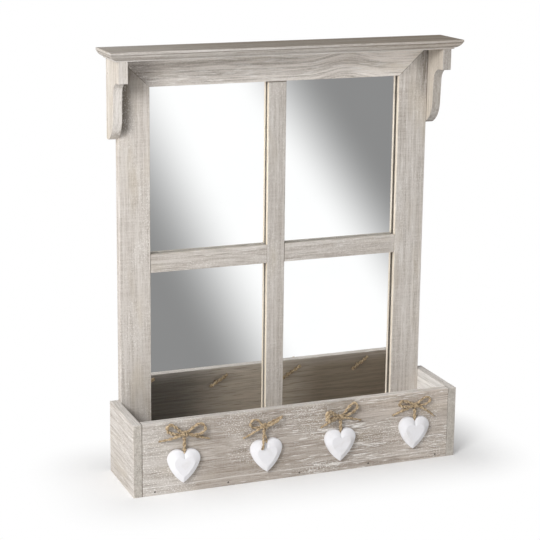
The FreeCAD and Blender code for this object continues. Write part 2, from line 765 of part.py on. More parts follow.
BOW_ROUTES = {
    1: [(-35.5, 1.5, -7.3), (-26.0, 1.0, -6.6), (-17.0, 0.0, -5.2), (-9.5, -1.0, -2.9),
        ("front", "right"), (10.5, -1.8, -1.9), (18.5, -2.4, -2.6), (26.0, -2.6, -0.4),
        (30.4, -2.4, 4.8), (28.0, -2.0, 10.8), (21.5, -1.5, 13.4), (14.5, -0.8, 9.4), (8.5, -0.2, 4.4),
        ("top", "left"),
        (-8.5, -0.1, 6.4), (-13.8, -0.4, 12.4), (-19.6, -0.8, 15.6), (-24.2, -0.6, 12.6), (-24.8, 0.2, 7.0),
        (-19.0, 0.8, 2.2), (-10.5, 1.2, -0.6), ("back", "right"),
        (11.0, 1.7, -3.8), (20.0, 2.0, -7.0), (28.8, 2.2, -9.5), (37.5, 2.3, -12.3)],
    2: [(-29.5, 1.5, -14.8), (-21.0, 0.6, -10.9), (-12.5, -1.0, -6.1), ("front", "right"),
        (9.5, -3.2, 2.0), (16.0, -4.8, 5.4), (22.4, -4.6, 8.8), (26.0, -2.4, 11.0), (24.6, 0.4, 10.9),
        (18.4, 1.4, 8.2), (11.0, 0.9, 4.7), ("top", "left"),
        (-6.2, -0.3, 7.2), (-10.5, -0.6, 10.4), (-15.4, -0.8, 9.2), (-17.8, -0.2, 4.6), (-15.4, 0.8, 0.2),
        (-10.5, 1.5, -1.4), ("back", "right"),
        (11.0, 1.5, 0.6), (18.5, 2.2, 3.8), (26.5, 2.6, 7.6)],
    3: [(-29.0, 2.2, -13.2), (-20.0, 2.1, -8.7), (-11.5, 1.8, -4.9), ("back", "right"),
        (11.0, 0.8, 1.4), (19.0, 0.0, 4.6), (25.4, -0.6, 10.5), (25.0, -0.8, 16.6), (19.5, -0.6, 19.0),
        (13.0, -0.4, 14.4), (7.8, -0.1, 7.8), ("top", "left"),
        (-8.0, -1.3, 6.3), (-13.0, -4.2, 9.8), (-17.0, -7.4, 8.3), (-18.6, -9.0, 3.5), (-16.6, -8.0, -1.4),
        (-11.0, -4.8, -3.0), ("front", "right"),
        (11.5, -1.0, -2.7), (21.0, -0.2, -5.4), (32.0, 0.8, -8.6)],
    4: [(-33.3, 2.2, -12.1), (-24.0, 2.1, -8.4), (-14.0, 1.8, -5.3), ("back", "right"),
        (10.0, 1.7, -1.9), (17.5, 1.2, -1.2), (22.4, 0.2, 3.2), (19.8, -0.5, 8.4), (13.0, -0.5, 9.3),
        (7.4, -0.2, 5.6), ("top", "left"),
        (-9.0, -1.0, 5.4), (-15.0, -2.2, 8.2), (-21.0, -3.4, 9.6), (-24.2, -4.0, 6.6), (-21.6, -3.6, 2.6),
        (-12.5, -2.4, 0.0), ("front", "right"),
        (9.5, -1.8, -2.8), (16.5, -1.2, -5.8), (24.0, 0.2, -9.8), (31.5, 0.8, -15.6)],
}
# The long and the short tail of each inner knot, measured from the knot's own middle
LONG_TAILS = {
    1: [(0, 0, 0), (7.5, 1.2, 5.2), (15.0, 1.0, 9.4), (26.0, -0.8, 17.6)],
    2: [(0, 0, 0), (8.0, 0.8, 3.6), (15.5, 1.2, 8.4), (24.0, 0.2, 14.8)],
    3: [(0, 0, 0), (8.5, 1.0, 5.6), (17.0, 0.8, 9.6), (28.0, -0.6, 17.0)],
    4: [(0, 0, 0), (7.0, 1.2, 4.4), (14.0, 0.6, 9.8), (23.0, 0.0, 15.4)],
}
SHORT_TAILS = {
    1: [(0, 0, 0), (-4.5, 1.0, -2.4), (-9.0, 0.2, -6.6)],
    2: [(0, 0, 0), (-4.0, 0.6, -3.4), (-9.5, 0.0, -5.4)],
    3: [(0, 0, 0), (-4.8, 1.0, -1.8), (-9.0, 0.4, -5.0)],
    4: [(0, 0, 0), (-4.2, 0.8, -3.0), (-8.6, 0.0, -6.8)],
}
HEART_2_CORD = [(0.0, 0.0, 0.0), (0.4, -0.2, -3.4), (0.6, -3.4, -10.0), (-1.4, -7.6, -17.5)]


def round_route(points):
    """Wire of straight runs joined by tangent arcs, each arc as large as its two runs allow."""
    share = 0.45
    edges = []
    radii = []
    start = points[0]
    for before, corner, after in zip(points, points[1:], points[2:]):
        back, ahead = (before - corner), (after - corner)
        cut = share * min(back.Length, ahead.Length)
        enter = corner + Vector(back).normalize() * cut
        leave = corner + Vector(ahead).normalize() * cut
        half_turn = (math.pi - back.getAngle(ahead)) / 2
        radius = cut / math.tan(half_turn)
        radii.append(radius)
        bisector = (Vector(back).normalize() + Vector(ahead).normalize()).normalize()
        crest = corner + bisector * (radius / math.cos(half_turn) - radius)
        edges.append(Part.LineSegment(start, enter).toShape())
        edges.append(Part.Arc(enter, crest, leave).toShape())
        start = leave
    edges.append(Part.LineSegment(start, points[-1]).toShape())
    return Part.Wire(edges), radii


def tube(label, points, diameter):
    """Solid of round section along a route, with its volume held against section times length."""
    wire, radii = round_route(points)
    circle = Part.Circle(points[0], points[1] - points[0], diameter / 2)
    solid = wire.makePipeShell([Part.Wire(circle.toShape())], True, False)
    expected = math.pi * diameter ** 2 / 4 * wire.Length
    if abs(solid.Volume / expected - 1) > 0.02:
        raise RuntimeError(f"{label}: tube volume {solid.Volume:.1f}, expected {expected:.1f}")
    print(f"{label}: length {wire.Length:.1f} mm, smallest radius {min(radii):.1f} mm")
    return solid, wire


def least_gap(wire, diameter):
    """Smallest clear distance between stretches of one tube that aren't neighbours along it."""
    step = diameter / 4
    points = wire.discretize(Number=int(wire.Length / step))
    apart = int(2.5 * diameter / step)
    nearest = wire.Length
    for index, point in enumerate(points):
        for other in points[index + apart:]:
            nearest = min(nearest, (point - other).Length)
    return nearest - diameter


def knot_middle(number):
    return Vector(size(knot_x(number)), size(f"{FRONT} - {KNOT_STANDOFF}"), size(knot_z(number)))


def fixed_shape(label, shape, base):
    """Sub-part whose shape is worked out here, placed afterwards."""
    piece = doc.addObject("Part::Feature", "Twine")
    piece.Shape = shape
    piece.Placement = FreeCAD.Placement(base, FreeCAD.Rotation())
    return keep(piece, label)


def make_bow(number):
    diameter = size("twine_diameter")
    solid, wire = tube(f"bow_{number}", bow_points(number), diameter)
    gap = least_gap(wire, diameter)
    print(f"bow_{number}: least gap to itself {gap:.2f} mm")
    fixed_shape(f"bow_{number}", solid, knot_middle(number))


def make_knot_wrap(number):
    """Turn of twine round the middle of the bow, from which the heart hangs."""
    ring = doc.addObject("Part::Torus", "Wrap")
    ring.setExpression("Radius1", bound(WRAP_RADIUS))
    ring.setExpression("Radius2", bound("wrap_diameter / 2"))
    place(ring, knot_x(number), f"{FRONT} - {KNOT_STANDOFF}", knot_z(number),
          turn=FreeCAD.Rotation(Vector(0, 1, 0), 90))
    keep(ring, f"knot_wrap_{number}")


def make_heart_cord(number):
    """Twine from the knot to the heart, into the hole in its cleft or the one in its face."""
    top = f"({WRAP_RADIUS} + wrap_diameter / 2 + cord_clearance)"
    label = f"heart_cord_{number}"
    if number != FRONT_HOLED_HEART:
        start = (knot_x(number), f"{FRONT} - {KNOT_STANDOFF}", f"{knot_z(number)} - {top}")
        length = f"drop_{number} + cord_hole_depth - {top}"
        keep(rod("Cord", "cord_diameter / 2", length, start, Vector(0, 0, -1)), label)
        return
    face = size("heart_thickness") - size(CORD_PLANE)
    cleft = Vector(size("front_heart_aside"), -face, size(top) - size(f"drop_{number}"))
    from_cleft = Vector(-size("front_hole_aside"), 0, -size("front_hole_below"))
    hole = cleft + heart_lean(number).multVec(from_cleft)
    into = Vector(0, size("front_hole_depth") - size("cord_clearance"), 0)
    bend = Vector(0, size("cord_diameter"), 0)
    route = drawn(HEART_2_CORD) + [hole - bend, hole + into]
    solid, wire = tube(label, route, size("cord_diameter"))
    fixed_shape(label, solid, knot_middle(number) - Vector(0, 0, size(top)))


def make_inner_knot(number):
    """Twine through the front board, with its knot and two tails on the inside."""
    diameter = size("twine_diameter")
    aside = size("twine_hole_aside")
    radius = size("inner_knot_diameter") / 2
    near_bow = strand("back")[0] + diameter / 2 + size("cord_clearance")
    inner_face = size(KNOT_STANDOFF) + size("board_thickness")
    knot = Vector(aside, inner_face + radius + size("cord_clearance"), 0)
    start = Vector(aside, near_bow, 0)
    shape = Part.makeSphere(radius)
    # The ball's poles and seam face where no strand leaves it
    inward, between_tails = Vector(0, 1, 0), Vector(-1, 0, 1.5)
    shape.Placement = FreeCAD.Placement(knot, FreeCAD.Rotation(inward, Vector(), between_tails, "ZXY"))
    shape = shape.fuse(Part.makeCylinder(diameter / 2, knot.y - near_bow, start, inward))
    for name, tails in (("long tail", LONG_TAILS), ("short tail", SHORT_TAILS)):
        route = [knot + point for point in drawn(tails[number])]
        solid, wire = tube(f"inner_knot_{number} {name}", route, diameter)
        shape = shape.fuse(solid)
    fixed_shape(f"inner_knot_{number}", shape.removeSplitter(), knot_middle(number))


# Hangers

def make_hanger_screw(x, z):
    """Screw whose head bears on the strap."""
    to_front = Vector(0, -1, 0)
    shank = rod("Shank", "screw_diameter / 2", "screw_length", (x, f"{BACK} + strap_thickness", z), to_front)
    head = doc.addObject("Part::Cone", "Head")
    head.setExpression("Radius1", bound("screw_diameter / 2"))
    head.setExpression("Radius2", bound("screw_head_diameter / 2"))
    head.setExpression("Height", bound("screw_head_height"))
    place(head, x, f"{BACK} + strap_thickness + screw_head_height", z,
          turn=FreeCAD.Rotation(Vector(0, 0, 1), to_front))
    return fused("Screw", [shank, head])


def make_hanger(name, side):
    """Strap screwed to the back of a stile, curled round a ring's straight bar. Gives back its screws."""
    x = f"{side} * ({HALF_FRAME} - stile_width / 2)"
    left = f"{x} - strap_width / 2"
    axis_y = f"{BACK} + {CURL_RADIUS} + strap_lift"
    to_right, to_front = Vector(1, 0, 0), Vector(0, -1, 0)
    plate = box("Plate", ("strap_width", "strap_thickness", "strap_length"),
                (left, BACK, f"{HANGER_HEIGHT} - strap_length"))
    curl_axis = (left, axis_y, HANGER_HEIGHT)
    curl = rod("Curl", CURL_RADIUS, "strap_width", curl_axis, to_right)
    bore = rod("Bore", "ring_wire / 2 + ring_clearance", "strap_width", curl_axis, to_right)
    cutters = [bore]
    screws = []
    for step in (0, 1):
        z = f"{HANGER_HEIGHT} - screw_first - {step} * screw_pitch"
        clear = "screw_diameter / 2 + screw_hole_clearance"
        behind = (x, f"{BACK} + 2 * strap_thickness", z)
        cutters.append(rod("ScrewHole", clear, "3 * strap_thickness", behind, to_front))
        screws.append(make_hanger_screw(x, z))
    strap = doc.addObject("Part::Cut", "Strap")
    strap.Base = fused("StrapBlank", [plate, curl])
    strap.Tool = fused("StrapWaste", cutters)
    doc.recompute()
    keep(strap, f"{name}_hanger_strap")
    make_hanger_ring(name, Vector(size(x), size(axis_y), size(HANGER_HEIGHT)))
    return screws


def make_hanger_ring(name, middle):
    """Wire ring with one straight side, hanging down from the curl of its strap."""
    wire_radius = size("ring_wire") / 2
    half = size("ring_width") / 2 - wire_radius
    drop = size("ring_drop")
    corner = 2 * wire_radius
    bend = corner * (1 - math.sqrt(0.5))
    lower = drop - half
    route = [
        Part.LineSegment(Vector(corner - half, 0, 0), Vector(half - corner, 0, 0)),
        Part.Arc(Vector(half - corner, 0, 0), Vector(half - bend, 0, -bend), Vector(half, 0, -corner)),
        Part.LineSegment(Vector(half, 0, -corner), Vector(half, 0, -lower)),
        Part.Arc(Vector(half, 0, -lower), Vector(0, 0, -drop), Vector(-half, 0, -lower)),
        Part.LineSegment(Vector(-half, 0, -lower), Vector(-half, 0, -corner)),
        Part.Arc(Vector(-half, 0, -corner), Vector(bend - half, 0, -bend), Vector(corner - half, 0, 0)),
    ]
    wire = Part.Wire([edge.toShape() for edge in route])
    circle = Part.Circle(route[0].StartPoint, Vector(1, 0, 0), wire_radius)
    ring = wire.makePipeShell([Part.Wire(circle.toShape())], True, False)
    fixed_shape(f"{name}_hanger_ring", ring, middle)


make_trough_front()
make_trough_base()
make_trough_pins()
for name, side in SIDES.items():
    make_trough_side(name, side)
    make_stile(name, side)
    make_bracket(name, side)
make_rail("top", FRAME_TOP, OPENING_TOP, f"{OPENING_TOP} + rebate_width")
make_rail("bottom", FRAME_BOTTOM, OPENING_BOTTOM, f"{OPENING_BOTTOM} - rebate_width")
make_bars()
make_pane("mirror_glass", f"{BACK} - {REBATE_DEPTH}", f"{BACK} - backing_thickness - backing_recess")
make_pane("backing_board", f"{BACK} - backing_thickness - backing_recess", f"{BACK} - backing_recess")
make_tabs()
make_corner_nails()
make_cornice()
make_upper_pins()
for number in HEARTS:
    make_heart(number)
    make_heart_cord(number)
    make_knot_wrap(number)
    make_bow(number)
    make_inner_knot(number)
hanger_screws = []
for name, side in SIDES.items():
    hanger_screws += make_hanger(name, side)
group("hanger_screws", hanger_screws)

doc.recompute()
for item in doc.Objects:
    if "Invalid" in item.State or "Error" in item.State:
        raise RuntimeError(f"{item.Label} failed: {item.State}")
for piece in nodes:
    if piece.Shape.isNull() or not piece.Shape.isValid() or not piece.Shape.Solids:
        raise RuntimeError(f"{piece.Label} has no sound solid")

os.makedirs("parts", exist_ok=True)
for piece in nodes:
    piece.Shape.exportStep(f"parts/{piece.Label}.step")
print(f"{len(nodes)} sub-parts written")
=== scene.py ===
import math
import random

import bmesh
import bpy
from bpy.props import FloatProperty, FloatVectorProperty, IntProperty, PointerProperty
from mathutils import Matrix, Vector


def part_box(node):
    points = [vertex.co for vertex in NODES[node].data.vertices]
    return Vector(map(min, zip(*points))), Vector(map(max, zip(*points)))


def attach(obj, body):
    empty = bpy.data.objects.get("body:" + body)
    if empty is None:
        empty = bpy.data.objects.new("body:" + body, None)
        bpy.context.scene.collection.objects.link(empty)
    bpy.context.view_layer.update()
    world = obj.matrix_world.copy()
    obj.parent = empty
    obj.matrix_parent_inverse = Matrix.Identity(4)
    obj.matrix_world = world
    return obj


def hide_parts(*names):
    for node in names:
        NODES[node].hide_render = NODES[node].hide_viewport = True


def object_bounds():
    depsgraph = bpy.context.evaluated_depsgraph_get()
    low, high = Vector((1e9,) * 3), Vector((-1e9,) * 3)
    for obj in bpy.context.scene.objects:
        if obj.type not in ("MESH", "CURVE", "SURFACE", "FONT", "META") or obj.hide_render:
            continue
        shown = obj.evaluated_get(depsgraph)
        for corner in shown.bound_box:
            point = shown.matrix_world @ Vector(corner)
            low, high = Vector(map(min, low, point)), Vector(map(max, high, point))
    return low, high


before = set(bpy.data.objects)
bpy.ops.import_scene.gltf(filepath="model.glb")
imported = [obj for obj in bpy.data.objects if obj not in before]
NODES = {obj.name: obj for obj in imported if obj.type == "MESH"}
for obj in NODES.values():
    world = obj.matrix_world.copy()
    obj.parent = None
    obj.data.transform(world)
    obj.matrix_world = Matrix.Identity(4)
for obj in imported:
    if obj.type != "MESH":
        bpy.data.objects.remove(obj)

bl_info = {
    "name": "Window Mirror With Trough",
    "version": (1, 0, 0),
    "blender": (4, 5, 0),
    "location": "3D View > Sidebar > Window Mirror",
    "description": "Dresses the mirror in limed wood, twine, painted hearts and silvered glass",
    "category": "Object",
}

CAD_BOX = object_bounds()
HEARTS = (1, 2, 3, 4)
WHITE = (1.0, 1.0, 1.0)


# Reading the frame

def low_corner(node):
    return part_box(node)[0]


def high_corner(node):
    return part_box(node)[1]


def middle(node):
    return (low_corner(node) + high_corner(node)) / 2


# The two faces of the trough's front board, which the twine lies before and behind
BOARD_FACE, BOARD_BACK = low_corner("trough_front").y, high_corner("trough_front").y
# The fronts of the glass and of the frame
GLASS_FACE, FRAME_FACE = low_corner("mirror_glass").y, low_corner("right_stile").y
# Each bow's knot sits in the middle of the turn of twine round it
KNOTS = {number: middle(f"knot_wrap_{number}") for number in HEARTS}


# Settings

def shade(red, green, blue):
    """A colour given in the usual 0 to 255 steps, as the linear values that shaders take."""
    steps = (step / 255 for step in (red, green, blue))
    return tuple(s / 12.92 if s <= 0.04045 else ((s + 0.055) / 1.055) ** 2.4 for s in steps)


def as_colour(name, description, red, green, blue):
    return FloatVectorProperty(name=name, description=description, subtype="COLOR", size=3,
                               min=0.0, max=1.0, default=shade(red, green, blue))


def as_number(name, description, default, unit="NONE", **limits):
    return FloatProperty(name=name, description=description, default=default, unit=unit, **limits)


def as_length(name, description, default):
    return as_number(name, description, default, "LENGTH", min=0.0)


class TwineSettings(bpy.types.PropertyGroup):
    """Thickness, lay and fuzz of the jute twine."""
    bow: as_length("Bow Twine", "Thickness of the twine that the bows are tied from", 0.0044)
    drop: as_length("Heart Twine", "Thickness of the twine that carries a heart", 0.0052)
    strand: as_length("Double Heart Twine", "Thickness of each strand where two carry a heart", 0.0038)
    wrap: as_length("Knot Turns", "Thickness of the turns round a bow's middle", 0.0034)
    pitch: as_length("Twist", "Length in which a ply goes once round the twine", 0.0150)
    stray: as_length("Stray Fibre", "Longest fibre that stands away from the twine", 0.0042)
    fibre: as_length("Fibre Thickness", "Thickness of one stray fibre", 0.00018)
    fuzz: IntProperty(name="Fuzz", description="Stray fibres on each metre of twine", default=1100, min=0)
    light: as_colour("Light Jute", "Colour of the pale fibres", 221, 198, 162)
    dark: as_colour("Dark Jute", "Colour of the fibres in the twist's hollows", 88, 64, 39)


class WoodSettings(bpy.types.PropertyGroup):
    """Colours of the limed wood; some of them also paint shade and highlights."""
    wash: as_colour("Wash", "Grey-beige wash on the raised grain", 212, 205, 198)
    grain: as_colour("Grain", "Wood that shows in the hollows of the grain", 160, 149, 138)
    pores: as_colour("Pores", "Dark lines of the open pores", 108, 95, 80)
    # Lime also paints the highlights on the shelf's moulding
    lime: as_colour("Lime", "White paint brushed over the wash", 240, 237, 233)
    bare: as_colour("Bare Wood", "Cream wood on cut faces", 220, 207, 186)
    rubbed: as_colour("Rubbed Edges", "Paler wood where the edges are rubbed", 228, 221, 211)
    # The end-grain colour also paints shade on the top faces of the level bars
    end_grain_and_shade: as_colour("End Grain", "Greyer wood on sawn ends", 170, 164, 153)
    shelf: as_colour("Shelf Top", "Browner wash on top of the shelf", 136, 124, 109)
    # Painted shade on the back of the trough's front board: a dark colour, and a paler one for its lighter
    # parts
    inside: as_colour("Trough Inside", "Wood behind the front board, with hardly any wash", 106, 101, 94)
    inside_paler_shade: as_colour("Paler Inside Shade", "Lighter wood behind the front board", 192, 180, 165)
    # The joint colour also paints shade lines: where the reveals meet the glass, and in the shelf's moulding
    seam: as_colour("Joint Lines", "Dark lines where boards meet", 92, 82, 70)


class SmallPartSettings(bpy.types.PropertyGroup):
    """Colours of the hearts, the glass, the backing and the metal."""
    paint: as_colour("Heart Paint", "Matt white paint of the hearts", 235, 234, 237)
    worn_paint: as_colour("Thin Paint", "Thinner paint on the hearts", 219, 216, 215)
    silver: as_colour("Silvering", "Reflecting layer of the mirror", 252, 253, 253)
    silver_depth: as_length("Silvering Depth", "How deep the reflection seems to lie in the glass", 0.0027)
    hardboard: as_colour("Hardboard", "Backing board", 158, 118, 82)
    hardboard_fleck: as_colour("Hardboard Flecks", "Dark flecks in the backing board", 88, 60, 38)
    steel: as_colour("Steel", "Hangers, tabs and screws", 168, 168, 166)
    rust: as_colour("Tarnish", "Tarnish on the steel", 112, 92, 74)
    pin: as_colour("Pin Heads", "Dark heads of the sunk pins", 38, 33, 29)


class StageSettings(bpy.types.PropertyGroup):
    """Camera, light and floor."""
    camera: FloatVectorProperty(name="Camera", description="Place of the camera", subtype="TRANSLATION",
                                size=3, unit="LENGTH", default=(-0.8363, -2.0067, 0.8436))
    azimuth: as_number("Azimuth", "Where the camera stands round the mirror", math.radians(-20.329),
                       "ROTATION")
    elevation: as_number("Elevation", "How far the camera looks down", math.radians(12.814), "ROTATION")
    roll: as_number("Roll", "Tilt of the camera about its line of sight", math.radians(0.27), "ROTATION")
    lens: as_number("Lens", "Focal length for a sensor 36 mm wide", 106.95, "CAMERA")
    shift: FloatVectorProperty(name="Shift", description="How far the picture is moved off the line of sight",
                               size=2, default=(0.0833, -0.0833))
    floor: as_colour("Floor", "Pale floor", 250, 250, 250)
    sky: as_number("Sky", "Strength of the light from all round", 0.355, min=0.0)
    key: as_number("Key Light", "Power of the large lamp at the front left", 51.0, "POWER", min=0.0)
    fill: as_number("Fill Light", "Power of the lamp at the left", 11.0, "POWER", min=0.0)
    card_grey: as_colour("Card Grey", "Grey end of the card that the glass reflects", 139, 139, 139)


# Building shader trees

class Wiring:
    """A shader tree, with short calls for the nodes that the finishes are made of."""

    def __init__(self, tree):
        self.tree = tree

    def feed(self, node, feeds):
        """Feeds a node's inputs from plain values, colours or other sockets."""
        for name, value in feeds.items():
            socket = node.inputs[name]
            if isinstance(value, bpy.types.NodeSocket):
                self.tree.links.new(value, socket)
            else:
                socket.default_value = (*value, 1.0) if socket.type == "RGBA" else value

    def add(self, kind, feeds, **settings):
        """Adds a node, sets its settings and feeds its inputs."""
        node = self.tree.nodes.new(kind)
        for name, value in settings.items():
            setattr(node, name, value)
        self.feed(node, feeds)
        return node

    def group(self, name, feeds):
        """Places a node group and returns its outputs."""
        return self.add("ShaderNodeGroup", feeds, node_tree=bpy.data.node_groups[name]).outputs

    def sums(self, operation, *terms):
        """The result of one sum on values or sockets."""
        return self.add("ShaderNodeMath", dict(enumerate(terms)), operation=operation).outputs[0]

    def times(self, first, second):
        return self.sums("MULTIPLY", first, second)

    def plus(self, first, second):
        return self.sums("ADD", first, second)

    def less(self, first, second):
        return self.sums("SUBTRACT", first, second)

    def vectors(self, operation, *terms):
        """The result of one sum on vectors."""
        node = self.add("ShaderNodeVectorMath", dict(enumerate(terms)), operation=operation)
        return node.outputs["Value" if operation in ("DOT_PRODUCT", "LENGTH") else "Vector"]

    def split(self, vector):
        return self.add("ShaderNodeSeparateXYZ", {0: vector}).outputs

    def join(self, **axes):
        return self.add("ShaderNodeCombineXYZ", axes).outputs[0]

    def rise(self, value, low, high):
        """A mask that goes from 0 to 1 as the value goes from low to high."""
        feeds = {"Value": value, "From Min": low, "From Max": high}
        return self.add("ShaderNodeMapRange", feeds, interpolation_type="SMOOTHSTEP").outputs["Result"]

    def fall(self, value, low, high):
        """A mask that goes from 1 to 0 as the value goes from low to high."""
        return self.less(1.0, self.rise(value, low, high))

    def blend(self, factor, first, second, kind="MIX"):
        """Mixes two colours."""
        feeds = {0: factor, 6: first, 7: second}
        return self.add("ShaderNodeMix", feeds, data_type="RGBA", blend_type=kind).outputs[2]

    def noise(self, vector, scale, seed, detail=2.0, roughness=0.5):
        """Soft noise from 0 to 1; three numbers as its scale stretch it."""
        if isinstance(scale, tuple):
            vector, scale = self.vectors("MULTIPLY", vector, scale), 1.0
        feeds = {"Vector": vector, "W": seed, "Scale": scale, "Detail": detail, "Roughness": roughness}
        return self.add("ShaderNodeTexNoise", feeds, noise_dimensions="4D").outputs["Fac"]

    def grained(self, vector, along, across, seed, detail=2.0, roughness=0.5):
        """Noise with one scale along the first axis and another across it."""
        return self.noise(vector, (along, across, across), seed, detail, roughness)

    def bump(self, height, strength, distance, **more):
        feeds = {"Height": height, "Strength": strength, "Distance": distance, **more}
        return self.add("ShaderNodeBump", feeds).outputs["Normal"]


class Group(Wiring):
    """A new shader node group; an input without a default is a vector, and the outputs are values."""

    def __init__(self, name, inputs, *outputs):
        super().__init__(bpy.data.node_groups.new(name, "ShaderNodeTree"))
        for label, default in inputs.items():
            kind = "NodeSocketVector" if default is None else "NodeSocketFloat"
            socket = self.tree.interface.new_socket(name=label, in_out="INPUT", socket_type=kind)
            if default is not None:
                socket.default_value = default
        for label in outputs:
            self.tree.interface.new_socket(name=label, in_out="OUTPUT", socket_type="NodeSocketFloat")
        given = self.tree.nodes.new("NodeGroupInput").outputs
        self.given = [given[label] for label in inputs]

    def give_out(self, **results):
        self.feed(self.tree.nodes.new("NodeGroupOutput"), results)


class Finish(Wiring):
    """A new material with a Principled shader; place (in metres) and normal are a piece's own."""

    def __init__(self, name):
        self.material = bpy.data.materials.new(name)
        self.material.use_nodes = True
        super().__init__(self.material.node_tree)
        self.shader = self.tree.nodes["Principled BSDF"]
        outputs = self.tree.nodes.new("ShaderNodeTexCoord").outputs
        self.place, self.normal = outputs["Object"], outputs["Normal"]

    def show(self, surface):
        """Puts another surface in place of the Principled shader."""
        self.feed(self.tree.nodes["Material Output"], {"Surface": surface})

    def done(self, colour, roughness, **others):
        """Feeds the Principled shader and returns the material."""
        feeds = {name.replace("_", " "): value for name, value in others.items()}
        self.feed(self.shader, {"Base Color": colour, "Roughness": roughness, **feeds})
        return self.material


# Node groups for the wood

def make_grain(name):
    """Growth bands, fibre lines, open pores and a fine mottle; the grain runs along the first axis."""
    tree = Group(name, {"Vector": None, "Seed": 0.0, "Wander": 0.006}, "Bands", "Lines", "Pores", "Mottle")
    vector, seed, wander = tree.given
    push = tree.times(tree.less(tree.grained(vector, 2.6, 9.0, seed), 0.5), wander)
    bent = tree.vectors("ADD", vector, tree.join(Y=push, Z=push))
    bands = tree.grained(bent, 1.6, 62.0, seed, 2.0, 0.55)
    lines = tree.grained(bent, 9.0, 300.0, seed, 4.0, 0.68)
    pores = tree.grained(bent, 30.0, 900.0, seed)
    mottle = tree.grained(vector, 380.0, 640.0, seed, 3.0, 0.7)
    tree.give_out(Bands=tree.rise(bands, 0.3, 0.7), Lines=tree.rise(lines, 0.37, 0.63),
                  Pores=tree.rise(pores, 0.56, 0.68), Mottle=tree.rise(mottle, 0.35, 0.65))


def make_lime(name):
    """White paint dragged along the grain with a dry brush, and specks of it in the pores."""
    tree = Group(name, {"Vector": None, "Seed": 0.0}, "Streaks", "Specks")
    vector, seed = tree.given
    dashes = tree.grained(vector, 44.0, 700.0, seed, 3.0, 0.62)
    patches = tree.less(tree.grained(vector, 8.0, 30.0, seed), 0.5)
    brushed = tree.plus(dashes, tree.times(patches, 0.3))
    dots = tree.grained(vector, 420.0, 600.0, seed, 2.0, 0.6)
    cover = tree.rise(tree.grained(vector, 12.0, 24.0, seed, 1.0), 0.42, 0.58)
    specks = tree.times(tree.rise(dots, 0.55, 0.61), cover)
    tree.give_out(Streaks=tree.rise(brushed, 0.56, 0.63), Specks=specks)


def make_saw(name):
    """Fine marks that a saw leaves across the grain."""
    tree = Group(name, {"Vector": None, "Seed": 0.0}, "Marks")
    vector, seed = tree.given
    tree.give_out(Marks=tree.rise(tree.grained(vector, 560.0, 40.0, seed, 2.0, 0.6), 0.32, 0.68))


def make_edges(name):
    """How near a point of a board's surface is to one of the board's edges, and to its two ends."""
    tree = Group(name, {"Vector": None, "Low Corner": None, "High Corner": None, "Wear Width": 0.0022,
                        "End Width": 0.0008, "Seed": 0.0}, "Wear", "Ends")
    vector, low, high, wear_width, end_width, seed = tree.given
    above, below = tree.vectors("SUBTRACT", vector, low), tree.vectors("SUBTRACT", high, vector)
    inset = tree.split(tree.vectors("MINIMUM", above, below))
    least, most, total = (tree.sums(operation, tree.sums(operation, inset["X"], inset["Y"]), inset["Z"])
                          for operation in ("MINIMUM", "MAXIMUM", "ADD"))
    # On a face the least inset is nought, so the middle one is the way to the nearest edge
    reach = tree.less(total, tree.plus(least, most))
    ragged = tree.times(tree.noise(vector, 160.0, seed, 3.0), 2.0)
    near = tree.sums("DIVIDE", reach, tree.sums("MAXIMUM", tree.times(ragged, wear_width), 0.0001))
    rubbed = tree.rise(tree.noise(vector, 34.0, seed), 0.42, 0.62)
    gap = tree.sums("DIVIDE", inset["X"], end_width)
    tree.give_out(Wear=tree.times(tree.fall(near, 0.25, 1.0), rubbed), Ends=tree.fall(gap, 0.4, 1.0))


def make_mitre(name):
    """The thin dark line of a mitre, the same at the left and the right of the frame."""
    tree = Group(name, {"Vector": None, "Corner": None, "Across": None, "Half Width": 0.0006}, "Line")
    vector, corner, across, half_width = tree.given
    inward = tree.vectors("SUBTRACT", tree.vectors("ABSOLUTE", vector), corner)
    away = tree.sums("ABSOLUTE", tree.vectors("DOT_PRODUCT", inward, across))
    tight = tree.rise(tree.noise(vector, 90.0, 8.0), 0.25, 0.6)
    tree.give_out(Line=tree.times(tree.fall(tree.sums("DIVIDE", away, half_width), 0.4, 1.0), tight))


WOOD_GROUPS = {"Wood Grain": make_grain, "Brushed Lime": make_lime, "Saw Marks": make_saw,
               "Board Edges": make_edges, "Mitre Line": make_mitre}


def make_wood_groups():
    for name, maker in WOOD_GROUPS.items():
        if name not in bpy.data.node_groups:
            maker(name)


# Order in which a board's own axes are read, so that the first runs along its grain
GRAIN_ORDER = {"X": "XYZ", "Y": "YXZ", "Z": "ZYX"}


def in_order(corner, order):
    return Vector(corner["XYZ".index(axis)] for axis in order)


def mitre_lines():
    """Each mitre as its outer corner and the way across its line, seen from the front."""
    stile_low, stile_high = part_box("left_stile")
    outer, inner = -stile_low.x, -stile_high.x
    ends = ((stile_high.z, low_corner("top_rail").z), (stile_low.z, high_corner("bottom_rail").z))
    for outer_height, inner_height in ends:
        across = Vector((inner_height - outer_height, 0.0, outer - inner)).normalized()
        yield Vector((outer, 0.0, outer_height)), across


def stain_mask(look, axes, pitch, level):
    """Round dark marks at a steady pitch along a board, counted from its middle."""
    across = look.sums("PINGPONG", axes["X"], pitch / 2)
    up = look.less(axes["Z"], level)
    square = look.plus(look.times(across, across), look.times(up, up))
    return look.fall(look.sums("SQRT", square), 0.0008, 0.0017)


